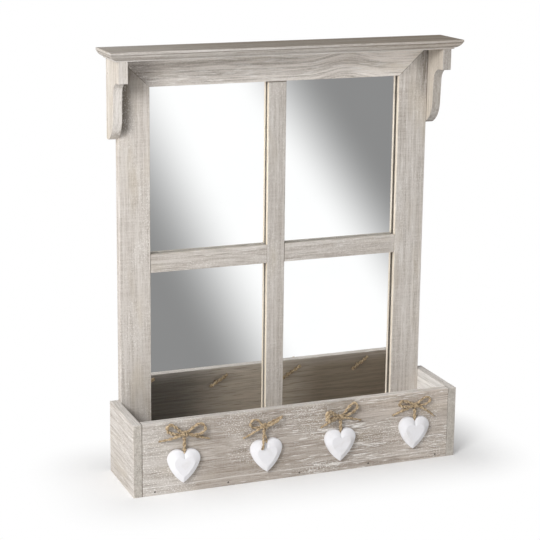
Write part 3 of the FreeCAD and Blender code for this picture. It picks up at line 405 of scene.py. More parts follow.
def limed_wood(node, along, seed, tone=1.0, depth=1.0, bands=0.34, lines=1.0, saw=0.3, streaks=0.3,
               specks=0.3, wear=0.3, ends=0.0, end_width=0.0008, mitre=0.0, arch=None, brushed=None,
               faces=(), shades=(), stripes=(), stains=None):
    """Limed wood for one board: grain along its length, brushed lime, saw marks, worn edges, dark joints and
    painted shade.

    tone, depth: how bright the board is, and how bright the hollows of its grain are beside that.
    bands: how much of the figure is broad growth bands; the rest is fine fibre lines.
    arch: where along X the grain arches up over a knot, how far that reaches each way, and how high.
    brushed: an axis, and where along it the brushed lime comes in.
    faces: a direction, a colour's name, how much of it a face turned that way takes, and perhaps an axis with
    the places on it between which the colour comes in; some faces take painted shade this way.
    shades: an axis, where along it a change starts and ends, the colour or number that it ends multiplied by,
    and perhaps a second axis with the places on it between which the change comes in; some are painted shadow
    and painted light.
    stripes: an axis, a level on it, half the stripe's width, a colour's name and its amount; some are painted
    highlights and painted shade lines.
    stains: the pitch and the height of the dark marks round a row of pins.
    """
    make_wood_groups()
    wood = bpy.context.scene.mirror_wood
    look = Finish(f"limed_wood_{node}")
    axes = look.split(look.place)
    order = GRAIN_ORDER[along]
    run = look.join(**{name: axes[axis] for name, axis in zip("XYZ", order)})
    bent = run
    if arch:
        peak, reach, height = arch
        hump = look.rise(look.sums("ABSOLUTE", look.less(axes["X"], peak)), reach, 0.0)
        bent = look.vectors("ADD", run, look.join(Z=look.times(hump, -height)))
    grain = look.group("Wood Grain", {"Vector": bent, "Seed": seed})
    lime = look.group("Brushed Lime", {"Vector": run, "Seed": seed + 5.0})
    marks = look.group("Saw Marks", {"Vector": run, "Seed": seed + 9.0})["Marks"]
    low, high = (in_order(corner, order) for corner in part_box(node))
    edges = look.group("Board Edges", {"Vector": run, "Low Corner": low, "High Corner": high,
                                       "End Width": end_width, "Seed": seed})

    def paint(base, mask, amount, name, strength=1.0):
        """Lays one of the wood's colours over a colour where a mask says so."""
        return look.blend(look.times(mask, amount), base, [c * strength for c in getattr(wood, name)])

    def narrowed(cover, axis=None, *reach):
        """A mask that comes in only along part of an axis, if one is given."""
        return look.times(cover, look.rise(axes[axis], *reach)) if axis else cover

    # The grain with its mottle, saw marks and warm patches
    figure = look.plus(look.times(grain["Bands"], bands), look.times(grain["Lines"], 1.0 - bands))
    figure = look.sums("POWER", figure, 0.8)
    tint = look.blend(figure, [c * tone * depth for c in wood.grain], [c * tone for c in wood.wash])
    tint = paint(tint, marks, saw, "wash", tone)
    tint = paint(tint, grain["Mottle"], 0.22, "lime", tone)
    warm = look.grained(run, 9.0, 34.0, seed + 3.0, 3.0)
    tint = paint(tint, look.rise(warm, 0.5, 0.7), 0.4, "bare", 0.74 * tone)
    # Changes of tone along the board, among them painted shadow and painted light
    for axis, start, end, factor, *where in shades:
        cover = narrowed(look.rise(axes[axis], start, end), *where)
        tint = look.blend(cover, tint, (factor,) * 3 if isinstance(factor, float) else factor, "MULTIPLY")

    # The lime on it, and the faces that are cut, worn, left bare or given painted shade
    strokes = lime["Streaks"]
    if brushed:
        reach = look.rise(axes[brushed[0]], *brushed[1:])
        strokes = look.times(strokes, look.sums("MULTIPLY_ADD", reach, 0.75, 0.25))
    tint = paint(tint, lime["Specks"], specks, "lime")
    tint = paint(tint, strokes, streaks, "lime")
    for way, name, amount, *where in faces:
        cover = narrowed(look.rise(look.vectors("DOT_PRODUCT", look.normal, way), 0.75, 0.95), *where)
        plain = Vector(getattr(wood, name))
        tint = look.blend(look.times(cover, amount), tint, look.blend(figure, plain * 0.8, plain * 1.12))
    tint = paint(tint, grain["Pores"], 0.42 * lines, "pores")
    tint = paint(tint, edges["Wear"], wear, "rubbed")

    # Lines along the board, painted highlights and shade lines among them, its joints, and the marks round
    # its pins
    wobble = look.sums("MULTIPLY_ADD", look.grained(run, 7.0, 0.0, seed), 0.003, -0.0015)
    for axis, level, half_width, name, amount in stripes:
        away = look.sums("ABSOLUTE", look.less(look.plus(axes[axis], wobble), level))
        tint = paint(tint, look.fall(away, half_width * 0.4, half_width), amount, name)
    tint = paint(tint, edges["Ends"], ends, "seam")
    if mitre:
        for corner, across in mitre_lines():
            feeds = {"Vector": look.place, "Corner": corner, "Across": across}
            tint = paint(tint, look.group("Mitre Line", feeds)["Line"], mitre, "seam")
    if stains:
        tint = paint(tint, stain_mask(look, axes, *stains), 0.85, "seam", 0.5)

    rough = look.less(0.86, look.times(lime["Streaks"], 0.16))
    height = look.plus(look.times(grain["Lines"], 0.6), look.times(marks, saw * 0.5))
    height = look.less(height, look.times(grain["Pores"], 0.5))
    height = look.plus(height, look.times(strokes, 0.3 * streaks))
    return look.done(tint, rough, Normal=look.bump(height, 0.35, 0.0006), Specular_IOR_Level=0.25)


def give(material, *nodes):
    """Gives CAD pieces their finish."""
    for node in nodes:
        slots = NODES[node].material_slots
        if not slots:
            NODES[node].data.materials.append(material)
        for slot in slots:
            slot.material = material


# Twine

# Steps that each span of a twine's spline is drawn in
SPLINE_STEPS = 14
# Corners round one ply, and round one stray fibre
PLY_SIDES, FIBRE_SIDES = 7, 3
# Plies in the twine, a ply's radius beside the twine's thickness, and its place off the middle beside
# that radius
PLIES, PLY_SHARE, PLY_LEAN = 2, 0.26, 0.92
# Thickest twine whose plies still lie side by side; where it is bunched up thicker, they run together
FULLEST = 0.0052
# How uneven a ply is spun, the waves of that, and how much further along its fibres the next ply starts
UNEVEN, UNEVEN_WAVES, PLY_OFFSET = 0.16, (900, 2100, 4300), 0.37
# Rings along a stray fibre, and fibres that fray at a cut end
FIBRE_RINGS, FRAYED = 4, 14
# Gap between the front board and a fibre before it
FIBRE_GAP = 0.0002
TWINE_MAP = "TwineRun"
FULL_TURN = 2 * math.pi


def spline_points(route, closed=False):
    """Points along the smooth spline that has a route's points as its control points."""
    curve = bpy.data.curves.new("route", "CURVE")
    curve.dimensions = "3D"
    curve.resolution_u = SPLINE_STEPS
    spline = curve.splines.new("NURBS")
    spline.points.add(len(route) - 1)
    for point, place in zip(spline.points, route):
        point.co = (*place, 1.0)
    spline.use_cyclic_u = closed
    spline.order_u = 3
    spline.use_endpoint_u = not closed
    holder = bpy.data.objects.new("route", curve)
    line = bpy.data.meshes.new_from_object(holder)
    points = [vertex.co.copy() for vertex in line.vertices]
    bpy.data.meshes.remove(line)
    bpy.data.objects.remove(holder)
    bpy.data.curves.remove(curve)
    return points


def run_frames(points, closed=False):
    """Each point of a line with the way along, two ways across that don't spin, and the run so far."""
    last = len(points) - 1
    frames = []
    side = None
    run = 0.0
    for i, point in enumerate(points):
        before = points[i - 1] if i or closed else point
        after = points[(i + 1) % (last + 1)] if i < last or closed else point
        along = (after - before).normalized()
        if side is None:
            side = along.orthogonal().normalized()
        side = (side - along * side.dot(along)).normalized()
        run += (point - points[i - 1]).length if i else 0.0
        frames.append((point, along, side, along.cross(side), run))
    return frames


def round_about(side, up, turn):
    return side * math.cos(turn) + up * math.sin(turn)


class TwineMesh:
    """Collects the tubes of one length of twine."""

    def __init__(self):
        self.places, self.faces, self.maps = [], [], []

    def tube(self, rings, sides, closed=False):
        """Adds a tube; each ring is a middle, two ways across, a radius and the run so far."""
        first = len(self.places)
        for centre, side, up, radius, run in rings:
            for corner in range(sides):
                self.places.append(centre + round_about(side, up, FULL_TURN * corner / sides) * radius)
        spans = len(rings) if closed else len(rings) - 1
        for i in range(spans):
            start, following = first + i * sides, first + (i + 1) % len(rings) * sides
            low, high = rings[i][4], rings[i + 1][4] if i + 1 < len(rings) else rings[i][4]
            for corner in range(sides):
                nxt = (corner + 1) % sides
                self.faces.append((start + corner, start + nxt, following + nxt, following + corner))
                around, beyond = corner / sides, (corner + 1) / sides
                self.maps.append(((low, around), (low, beyond), (high, beyond), (high, around)))
        if not closed:
            for i, order in ((0, range(sides - 1, -1, -1)), (len(rings) - 1, range(sides))):
                self.faces.append(tuple(first + i * sides + corner for corner in order))
                self.maps.append(((rings[i][4], 0.5),) * sides)

    def build(self, name, body, node):
        """Makes the piece, which rides on a body in place of a solid."""
        mesh = bpy.data.meshes.new(name)
        mesh.from_pydata(self.places, [], self.faces)
        layer = mesh.uv_layers.new(name=TWINE_MAP)
        layer.data.foreach_set("uv", [value for face in self.maps for corner in face for value in corner])
        mesh.polygons.foreach_set("use_smooth", [True] * len(mesh.polygons))
        mesh.update()
        mesh.materials.append(jute())
        return take_place(bpy.data.objects.new(name, mesh), body, node)


def take_place(piece, body, node):
    """Puts a piece in the scene, on a body, in place of a solid."""
    bpy.context.scene.collection.objects.link(piece)
    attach(piece, body)
    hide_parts(node)
    return piece


def before_board(point):
    """Moves a point that lies in the trough's front board to just before it."""
    clear = BOARD_FACE - FIBRE_GAP
    if clear < point.y < BOARD_BACK:
        point.y = clear
    return point


def even(thickness):
    """A twine that is equally thick all along."""
    return lambda place, run, total: thickness


def add_plies(twine, points, thickness, chance, closed=False):
    """Plies laid round each other, each a little uneven; the thickness is a function of the place."""
    frames = run_frames(points, closed)
    total = frames[-1][4]
    turns = total / bpy.context.scene.mirror_twine.pitch
    if closed:
        turns = max(1, round(turns))
    for ply in range(PLIES):
        phases = [chance.uniform(0, FULL_TURN) for _ in UNEVEN_WAVES]
        rings = []
        for place, along, side, up, run in frames:
            out = round_about(side, up, FULL_TURN * (turns * run / total + ply / PLIES))
            waves = [math.sin(run * wave + phase) for wave, phase in zip(UNEVEN_WAVES, phases)]
            uneven = sum(waves) / len(waves)
            wide = thickness(place, run, total)
            lean = min(wide, FULLEST) * PLY_SHARE * PLY_LEAN
            radius = wide * PLY_SHARE * (1 + UNEVEN * uneven)
            rings.append((place + out * lean, side, up, radius, run + PLY_OFFSET * ply))
        twine.tube(rings, PLY_SIDES, closed)


def add_fibre(twine, start, way, bend, length, thickness):
    """One stray fibre that leaves the twine, curls over and thins out."""
    rings = []
    side = way.orthogonal().normalized()
    up = way.cross(side)
    for step in range(FIBRE_RINGS):
        share = step / (FIBRE_RINGS - 1)
        place = start + way * (length * share) + bend * (length * 0.5 * share * share)
        rings.append((before_board(place), side, up, thickness / 2 * (1 - 0.6 * share), length * share))
    twine.tube(rings, FIBRE_SIDES)


def add_fuzz(twine, points, thickness, chance, ends=()):
    """Stray fibres along a twine, and a frayed brush at each cut end."""
    settings = bpy.context.scene.mirror_twine
    frames = run_frames(points)
    total = frames[-1][4]
    for _ in range(round(settings.fuzz * total)):
        place, along, side, up, run = frames[chance.randrange(2, len(frames) - 2)]
        out = round_about(side, up, chance.uniform(0, FULL_TURN))
        forward = along * chance.choice((-1, 1)) * chance.uniform(0.7, 1.2)
        way = (forward + out * chance.uniform(0.1, 0.38)).normalized()
        long = settings.stray * chance.uniform(0.35, 1.0)
        bend = -out * chance.uniform(-0.1, 0.7)
        wide = min(FULLEST, thickness(place, run, total))
        add_fibre(twine, place + out * wide * 0.42, way, bend, long, settings.fibre)
    for end in ends:
        place, along, side, up, run = frames[end]
        wide = thickness(place, run, total)
        outward = along if end else -along
        for _ in range(FRAYED):
            out = round_about(side, up, chance.uniform(0, FULL_TURN))
            way = (outward + out * chance.uniform(0.05, 0.45)).normalized()
            start = place + out * wide * chance.uniform(0.1, 0.36) - outward * 0.0006
            bend = out * chance.uniform(-0.4, 0.4)
            add_fibre(twine, start, way, bend, chance.uniform(0.0012, 0.0026), settings.fibre * 1.5)


def lay_twine(name, points, thickness, chance, body, node, ends=()):
    """One length of twine with its fuzz."""
    twine = TwineMesh()
    add_plies(twine, points, thickness, chance)
    add_fuzz(twine, points, thickness, chance, ends)
    return twine.build(name, body, node)


def jute():
    """Tan twine: pale fibres along each ply, dark in the hollows, with a dry rough surface."""
    known = bpy.data.materials.get("jute_twine")
    if known:
        return known
    settings = bpy.context.scene.mirror_twine
    look = Finish("jute_twine")
    run = look.add("ShaderNodeUVMap", {}, uv_map=TWINE_MAP).outputs["UV"]
    fibres = look.noise(run, (420.0, 9.0, 1.0), 3.0, 3.0, 0.6)
    patches = look.noise(look.place, 260.0, 7.0)
    mixed = look.plus(look.times(fibres, 0.6), look.times(patches, 0.4))
    tint = look.blend(look.rise(mixed, 0.31, 0.66), settings.dark, settings.light)
    return look.done(tint, look.rise(fibres, -0.6, 1.0), Normal=look.bump(fibres, 0.5, 0.0003),
                     Specular_IOR_Level=0.2, Sheen_Weight=0.25)


# Places of the three strands inside a knot, as millimetres back and up, and half the length that runs
# straight
STRANDS = {"front": (-1.25, -0.722), "top": (0.0, 1.443), "back": (1.25, -0.722)}
HALF_KNOT = 3.2

# Each bow from tail to tail, in millimetres from its knot's middle; a pair of words is a passage through
# the knot
BOW_ROUTES = {
    1: [(-35.5, 1.5, -7.3), (-26.0, 1.0, -6.6), (-17.0, 0.0, -5.2), (-9.5, -1.0, -2.9), ("front", "right"),
        (10.5, -1.8, -1.9), (18.5, -2.4, -2.6), (26.0, -2.6, -0.4), (30.4, -2.4, 4.8), (28.0, -2.0, 10.8),
        (21.5, -1.5, 13.4), (14.5, -0.8, 9.4), (8.5, -0.2, 4.4), ("top", "left"), (-8.5, -0.1, 6.4),
        (-13.8, -0.4, 12.4), (-19.6, -0.8, 15.6), (-24.2, -0.6, 12.6), (-24.8, 0.2, 7.0), (-19.0, 0.8, 2.2),
        (-10.5, 1.2, -0.6), ("back", "right"), (11.0, 1.7, -3.8), (20.0, 2.0, -7.0), (28.8, 2.2, -9.5),
        (37.5, 2.3, -12.3)],
    2: [(-29.5, 1.5, -14.8), (-21.0, 0.6, -10.9), (-12.5, -1.0, -6.1), ("front", "right"), (9.5, -3.2, 2.0),
        (16.0, -4.8, 5.4), (22.4, -4.6, 9.2), (27.2, -2.4, 12.0), (25.8, 0.4, 11.2), (18.4, 1.4, 6.6),
        (11.0, 0.9, 3.7), ("top", "left"), (-6.2, -0.3, 7.6), (-11.5, -0.6, 11.6), (-17.6, -0.8, 10.4),
        (-20.8, -0.2, 5.0), (-18.2, 0.8, 0.0), (-11.5, 1.5, -1.8), ("back", "right"), (11.0, 1.5, 0.6),
        (18.5, 2.2, 3.8), (26.5, 2.6, 7.6)],
    3: [(-29.0, 2.2, -13.2), (-20.0, 2.1, -8.7), (-11.5, 1.8, -4.9), ("back", "right"), (11.0, 0.8, 1.4),
        (19.0, 0.0, 4.6), (25.4, -0.6, 10.5), (25.0, -0.8, 16.6), (19.5, -0.6, 19.0), (13.0, -0.4, 14.4),
        (7.8, -0.1, 7.8), ("top", "left"), (-8.0, -0.6, 3.2), (-13.0, -1.6, 6.2), (-17.6, -3.0, 9.6),
        (-22.2, -6.8, 10.0), (-24.6, -9.2, 4.4), (-22.2, -7.6, -1.2), (-16.8, -4.0, -1.2),
        (-11.5, -2.6, -0.6), ("front", "right"), (11.5, -1.0, -2.7), (21.0, -0.2, -5.4), (32.0, 0.8, -8.6)],
    4: [(-33.3, 2.2, -12.1), (-24.0, 2.1, -8.4), (-14.0, 1.8, -5.3), ("back", "right"), (10.0, 1.7, -1.7),
        (19.0, 1.2, -0.2), (25.0, 0.2, 4.4), (23.2, -0.5, 10.2), (15.8, -0.5, 11.2), (8.0, -0.2, 6.2),
        ("top", "left"), (-9.0, -1.0, 5.6), (-16.0, -2.2, 8.6), (-23.2, -3.4, 9.8), (-27.0, -4.0, 6.2),
        (-23.6, -3.6, 1.8), (-13.0, -2.4, -0.4), ("front", "right"), (9.5, -1.8, -3.6), (16.5, -1.2, -7.8),
        (24.0, 0.2, -13.2), (31.2, 0.8, -19.8)],
}
# Share of a bow's thickness left inside the knot and at a cut end, and how far each change reaches
SQUEEZED, SQUEEZE_REACH = 0.75, 0.005
THIN_END, THIN_REACH = 0.7, 0.024
# Loops that are bunched up or thin: their middle in millimetres from the knot, how far the change reaches
# in metres, and how much fuller they are
BUNCHES = {1: [((-18.5, -0.2, 8.5), 0.018, 1.15)],
           2: [((-14.0, 0.0, 4.5), 0.018, 0.82), ((26.6, -1.4, 11.6), 0.012, 0.6)],
           3: [((-21.0, -6.2, 4.4), 0.015, 2.3)],
           4: [((-20.0, -3.0, 5.0), 0.018, 1.15), ((20.0, 0.0, 6.0), 0.018, 0.8)]}

# The turns round a knot: how many, the steps that each is drawn in, how much further out they lie than a
# single hard turn, the pitch between them beside their thickness, and how far they sway
WRAP_TURNS, WRAP_STEPS = 2, 14
WRAP_SWELL, WRAP_PITCH, WRAP_SWAY = 0.0005, 0.95, 0.0003

# The two tails of each knot behind the front board, in millimetres from that knot's middle
LONG_TAILS = {
    1: [(6.5, 1.2, 4.6), (12.5, 1.0, 8.6), (19.0, 0.2, 13.4)],
    2: [(7.0, 0.8, 3.6), (12.5, 1.2, 7.2), (17.5, 0.8, 10.8)],
    3: [(7.5, 1.0, 5.0), (14.0, 0.8, 8.2), (20.5, 0.2, 12.2)],
    4: [(6.5, 1.2, 4.2), (12.0, 0.8, 8.4), (17.0, 0.4, 11.6)],
}
SHORT_TAILS = {
    1: [(-9.0, 0.2, -6.6), (-4.5, 1.0, -2.4)],
    2: [(-9.5, 0.0, -5.4), (-4.0, 0.6, -3.4)],
    3: [(-9.0, 0.4, -5.0), (-4.8, 1.0, -1.8)],
    4: [(-8.6, 0.0, -6.8), (-4.2, 0.8, -3.0)],
}
# Middle of a knot behind the board, and where the twine goes into the board in front, from the bow's knot
INNER_KNOT = Vector((0.0027, 0.02094, 0.0))
THROUGH_START = Vector((0.0027, 0.0026, 0.0))
# Radius of that knot, the steps that its loop is drawn in, how deep the loop weaves, and its share of the
# thickness
INNER_KNOT_RADIUS, INNER_KNOT_STEPS, INNER_KNOT_WEAVE, INNER_KNOT_SHARE = 0.0034, 27, 1.9, 0.9
# How far the twine through the board bows off a straight line
THROUGH_BEND = Vector((0.0003, 0.0, 0.0002))

# The second heart's twine, in millimetres from under its knot: one strand runs over the heart's face and
# into a hole in it, and the other twists round the first and goes into the heart's cleft
FACE_DROP = [(-0.8, 0.0, 0.0), (0.4, 0.0, -4.4), (-1.4, -3.4, -10.0), (-3.1, -7.4, -17.5),
             (-3.98, -7.76, -26.6), (-3.98, -2.86, -26.6)]
CLEFT_DROP = [(1.2, -0.6, 0.4), (-1.0, -2.6, -4.6), (1.8, -2.6, -10.4), (3.5, -1.2, -15.8), (3.6, 0.0, -19.7)]
FACE_DROP_HEART, FACE_DROP_LENGTH = 2, 0.0315
# From a knot's middle down to where a heart's twine starts, and how far a plain drop sways and stands off
# the board
DROP_START = Vector((0.0, 0.0, 0.004743))
DROP_SWAY, DROP_STAND = 0.0004, 0.0003


def from_place(start, route):
    """A route given in millimetres from some place, as places in the frame."""
    return [start + Vector([step / 1000 for step in point]) for point in route]


def bow_route(number):
    """A bow's route in the frame, with its passages through the knot put in."""
    route = []
    for step in BOW_ROUTES[number]:
        if len(step) == 2:
            strand, way = step
            half = HALF_KNOT if way == "right" else -HALF_KNOT
            route += [(-half, *STRANDS[strand]), (half, *STRANDS[strand])]
        else:
            route.append(step)
    return from_place(KNOTS[number], route)


def bow_thickness(number):
    """How thick a bow's twine is: squeezed in the knot, full in the loops, thinner towards its cut ends."""
    full = bpy.context.scene.mirror_twine.bow
    bunches = [(*from_place(Vector(), [centre]), reach, fuller) for centre, reach, fuller in BUNCHES[number]]

    def at(place, run, total):
        from_knot = place - KNOTS[number]
        loose = min(1.0, max(0.0, from_knot.length - HALF_KNOT / 1000) / SQUEEZE_REACH)
        inward = min(1.0, min(run, total - run) / THIN_REACH)
        width = full * (SQUEEZED + (1 - SQUEEZED) * loose) * (THIN_END + (1 - THIN_END) * inward)
        for centre, reach, fuller in bunches:
            near = min(1.0, max(0.0, 2 - 2 * (from_knot - centre).length / reach))
            width *= 1 + (fuller - 1) * near
        return width
    return at


class MIRROR_OT_bows(bpy.types.Operator):
    """Ties the four bows, each from one length of twine"""
    bl_idname = "window_mirror.bows"
    bl_label = "Bows"

    def execute(self, context):
        for number in HEARTS:
            chance = random.Random(100 + number)
            points = spline_points(bow_route(number))
            piece = lay_twine(f"twine_bow_{number}", points, bow_thickness(number), chance, "mirror",
                              f"bow_{number}", ends=(0, -1))
        return {"FINISHED"}


class MIRROR_OT_knot_wraps(bpy.types.Operator):
    """Winds two turns of twine round the middle of each bow"""
    bl_idname = "window_mirror.knot_wraps"
    bl_label = "Turns Round the Knots"

    def execute(self, context):
        width = context.scene.mirror_twine.wrap
        for number in HEARTS:
            low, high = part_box(f"knot_wrap_{number}")
            radius = (high.z - low.z - width) / 2 + WRAP_SWELL
            route = []
            for step in range(WRAP_TURNS * WRAP_STEPS + 1):
                turn = FULL_TURN * (step / WRAP_STEPS) - math.pi / 2
                slide = width * WRAP_PITCH * (step / WRAP_STEPS - WRAP_TURNS / 2)
                sway = WRAP_SWAY * math.sin(turn * 1.5 + number)
                turned = Vector((slide + sway, radius * math.cos(turn), radius * math.sin(turn)))
                route.append(KNOTS[number] + turned)
            lay_twine(f"twine_knot_{number}", spline_points(route), even(width), random.Random(200 + number),
                      f"knot_{number}", f"knot_wrap_{number}")
        return {"FINISHED"}


class MIRROR_OT_heart_cords(bpy.types.Operator):
    """Hangs each heart's twine from its knot"""
    bl_idname = "window_mirror.heart_cords"
    bl_label = "Heart Twine"

    def execute(self, context):
        settings = context.scene.mirror_twine
        for number in HEARTS:
            chance = random.Random(300 + number)
            start = KNOTS[number] - DROP_START
            hung = f"hanging_heart_{number}", f"heart_cord_{number}"
            if number == FACE_DROP_HEART:
                width = settings.strand
                points = spline_points(from_place(start, FACE_DROP))
                piece = lay_twine(f"twine_drop_{number}", points, even(width), chance, *hung)
                points = spline_points(from_place(start, CLEFT_DROP))
                lay_twine("twine_cleft", points, even(width), chance, *hung)
            else:
                foot = low_corner(f"heart_cord_{number}").z
                sway = DROP_SWAY if number % 2 else -DROP_SWAY
                route = [start, Vector((start.x + sway, start.y - DROP_STAND, (start.z + foot) / 2)),
                         Vector((start.x, start.y, foot))]
                lay_twine(f"twine_drop_{number}", spline_points(route), even(settings.drop), chance, *hung)
        return {"FINISHED"}


class MIRROR_OT_inner_knots(bpy.types.Operator):
    """Ties the knots behind the front board, with their tails"""
    bl_idname = "window_mirror.inner_knots"
    bl_label = "Knots Behind the Board"

    def execute(self, context):
        settings = context.scene.mirror_twine
        for number in HEARTS:
            chance = random.Random(400 + number)
            knot = KNOTS[number] + INNER_KNOT
            ball = self.tie(settings.bow, knot, number, chance)
            route = [*SHORT_TAILS[number], (0, 0, 0), *LONG_TAILS[number]]
            points = spline_points(from_place(knot, route))
            tails = lay_twine(f"twine_tails_{number}", points, even(settings.drop), chance, "mirror",
                              f"inner_knot_{number}", ends=(0, -1))
        return {"FINISHED"}

    def tie(self, width, knot, number, chance):
        """The knot, a loop that goes over and under itself, and the twine from it through the board."""
        reach = (INNER_KNOT_RADIUS - width / 2) / 3
        route = []
        for step in range(INNER_KNOT_STEPS):
            turn = FULL_TURN * step / INNER_KNOT_STEPS
            across = math.sin(turn) + 2 * math.sin(2 * turn)
            up = math.cos(turn) - 2 * math.cos(2 * turn)
            deep = -math.sin(3 * turn) * INNER_KNOT_WEAVE
            route.append(knot + Matrix.Rotation(number, 3, "Y") @ Vector((across, deep, up)) * reach)
        loop = spline_points(route, closed=True)
        start = KNOTS[number] + THROUGH_START
        through = spline_points([start, (start + knot) / 2 + THROUGH_BEND, knot])
        twine = TwineMesh()
        add_plies(twine, loop, even(width * INNER_KNOT_SHARE), chance, closed=True)
        add_plies(twine, through, even(width), chance)
        add_fuzz(twine, loop, even(width), chance)
        return twine.build(f"twine_inner_knot_{number}", "mirror", f"inner_knot_{number}")


# Painted hearts

def heart_paint():
    """Matt white paint with brush marks, thin in places, that eases the ridges between the facets."""
    settings = bpy.context.scene.mirror_parts
    look = Finish("heart_paint")
    brush = look.noise(look.place, (420.0, 420.0, 110.0), 2.0, 3.0, 0.6)
    thin = look.rise(look.noise(look.place, 70.0, 4.0), 0.45, 0.75)
    tint = look.blend(look.times(thin, 0.5), settings.paint, settings.worn_paint)
    tint = look.blend(look.times(look.rise(brush, 0.6, 0.8), 0.25), tint, settings.worn_paint)
    eased = look.add("ShaderNodeBevel", {"Radius": 0.001}, samples=6).outputs["Normal"]
    return look.done(tint, look.rise(brush, -1.2, 1.4), Normal=look.bump(brush, 0.18, 0.0004, Normal=eased),
                     Specular_IOR_Level=0.35)


class MIRROR_OT_hearts(bpy.types.Operator):
    """Paints the hearts white"""
    bl_idname = "window_mirror.hearts"
    bl_label = "Hearts"

    def execute(self, context):
        give(heart_paint(), *(f"heart_{number}" for number in HEARTS))
        return {"FINISHED"}


# Wooden pieces

LEFT, RIGHT, FRONT, BACK = (-1, 0, 0), (1, 0, 0), (0, -1, 0), (0, 1, 0)
UP, DOWN = (0, 0, 1), (0, 0, -1)

FRAME_FINISHES = {
    "left_stile": dict(
        along="Z", seed=11.0, tone=0.97, lines=0.5, saw=0.5, streaks=0.2, specks=0.45, mitre=0.75,
        faces=[(RIGHT, "bare", 0.6)],
        # Painted shadow: the stile is darkened beside the left bracket, and its upper end under the shelf
        shades=[("X", -0.201, -0.225, (0.48, 0.47, 0.46), "Z", 0.478, 0.492),
                ("Z", 0.535, 0.575, (0.66, 0.65, 0.65))]),
    "right_stile": dict(
        along="Z", seed=23.0, tone=1.06, bands=0.25, lines=0.6, saw=0.5, streaks=0.35, mitre=0.75,
        faces=[(LEFT, "bare", 0.6)],
        # Painted shade: above the lower part, beside the right bracket, and in a line where the reveal meets
        # the glass
        shades=[("Z", 0.12, 0.35, 0.9), ("X", 0.204, 0.23, (0.46, 0.45, 0.44), "Z", 0.495, 0.545)],
        stripes=[("Y", GLASS_FACE, 0.0015, "seam", 0.65)]),
    "top_rail": dict(
        along="X", seed=37.0, tone=1.09, depth=0.68, bands=0.12, lines=0.7, saw=0.1, streaks=0.6, mitre=0.75,
        arch=(0.105, 0.06, 0.009), faces=[(DOWN, "bare", 0.7)],
        # Painted light just under the shelf, and painted shadow at the rail's left end beside the bracket
        shades=[("Z", 0.558, 0.575, 1.22), ("X", 0.02, 0.16, 1.12), ("X", -0.155, -0.2, (0.62, 0.61, 0.61))]),
    "bottom_rail": dict(along="X", seed=41.0, tone=0.94, saw=0.2, mitre=0.75, faces=[(UP, "bare", 0.7)]),
    "vertical_glazing_bar": dict(
        along="Z", seed=53.0, tone=0.96, lines=0.6, saw=0.4, streaks=0.2, ends=0.8, end_width=0.0018,
        # Painted shade: the bar darkens towards the top, and a dark line is painted where its sides meet the
        # glass
        faces=[(LEFT, "bare", 0.9), (RIGHT, "bare", 0.9)], shades=[("Z", 0.15, 0.45, 0.87)],
        stripes=[("Y", GLASS_FACE, 0.0015, "seam", 0.35)]),
    # Painted shade: the level bars' top faces take the greyer end-grain colour, as shade along their top
    # edges
    "left_glazing_bar": dict(along="X", seed=61.0, tone=0.94, saw=0.2, streaks=0.45, ends=0.5,
                             faces=[(UP, "end_grain_and_shade", 0.8), (DOWN, "bare", 0.8)]),
    "right_glazing_bar": dict(along="X", seed=67.0, tone=0.94, streaks=0.4, ends=0.5,
                              faces=[(UP, "end_grain_and_shade", 0.8), (DOWN, "bare", 0.8)]),
}
CORNICE_FINISHES = {
    "cornice_shelf": dict(
        along="X", seed=71.0, tone=0.82, lines=1.1, saw=0.05, streaks=0.25, specks=0.1, wear=0.15,
        faces=[(UP, "shelf", 0.1), (UP, "shelf", 0.62, "X", -0.25, -0.03)],
        shades=[("X", 0.0, 0.25, (0.94, 0.9, 0.85))],
        # Painted highlights in lime at the lip and the fillet, and painted shade as a dark line in the quirk
        # between them
        stripes=[("Z", 0.5978, 0.0016, "lime", 0.12), ("Z", 0.596, 0.001, "seam", 0.45),
                 ("Z", 0.5876, 0.0012, "lime", 0.35)]),
    "left_bracket": dict(along="Z", seed=83.0, tone=0.94, lines=0.5, saw=0.15, streaks=0.25, specks=0.2,
                         faces=[(LEFT, "bare", 0.2), (RIGHT, "bare", 0.4), (FRONT, "lime", 0.2)]),
    "right_bracket": dict(along="Z", seed=89.0, tone=0.78, lines=0.5, saw=0.15, streaks=0.25, specks=0.2,
                          faces=[(LEFT, "bare", 0.3), (RIGHT, "bare", 0.3)],
                          stripes=[("Y", FRAME_FACE, 0.0016, "seam", 0.7)]),
}
TROUGH_FINISHES = {
    "trough_front": dict(
        along="X", seed=97.0, tone=0.91, bands=0.2, lines=1.4, saw=0.25, streaks=0.95, specks=0.72, ends=0.9,
        brushed=("X", -0.15, 0.06),
        # Painted shade on the back face: dark, paler from the middle on, browner at the right end, paler near
        # the top
        faces=[(BACK, "inside", 0.95), (BACK, "inside_paler_shade", 0.95, "X", -0.12, 0.0),
               (BACK, "shelf", 0.95, "X", 0.04, 0.13), (BACK, "wash", 0.3, "Z", 0.085, 0.105),
               (UP, "lime", 0.35)],
        shades=[("X", -0.215, -0.12, (0.8, 0.765, 0.735)), ("X", 0.07, 0.19, 1.17),
                ("X", 0.06, 0.11, 1.22, "Z", 0.065, 0.095)],
        stripes=[("Z", 0.012, 0.0009, "lime", 0.45)], stains=(0.1065, 0.005)),
    "trough_left_side": dict(along="Y", seed=103.0, tone=0.92, bands=0.15, lines=0.6, streaks=0.4, specks=0.6,
                             faces=[(FRONT, "end_grain_and_shade", 0.45), (UP, "lime", 0.3)]),
    "trough_right_side": dict(along="Y", seed=109.0, lines=0.8, streaks=0.5, specks=0.5,
                              faces=[(FRONT, "end_grain_and_shade", 0.5), (LEFT, "lime", 0.75), (UP, "lime", 0.3)]),
    "trough_base": dict(along="X", seed=113.0, tone=0.9, streaks=0.2),
}


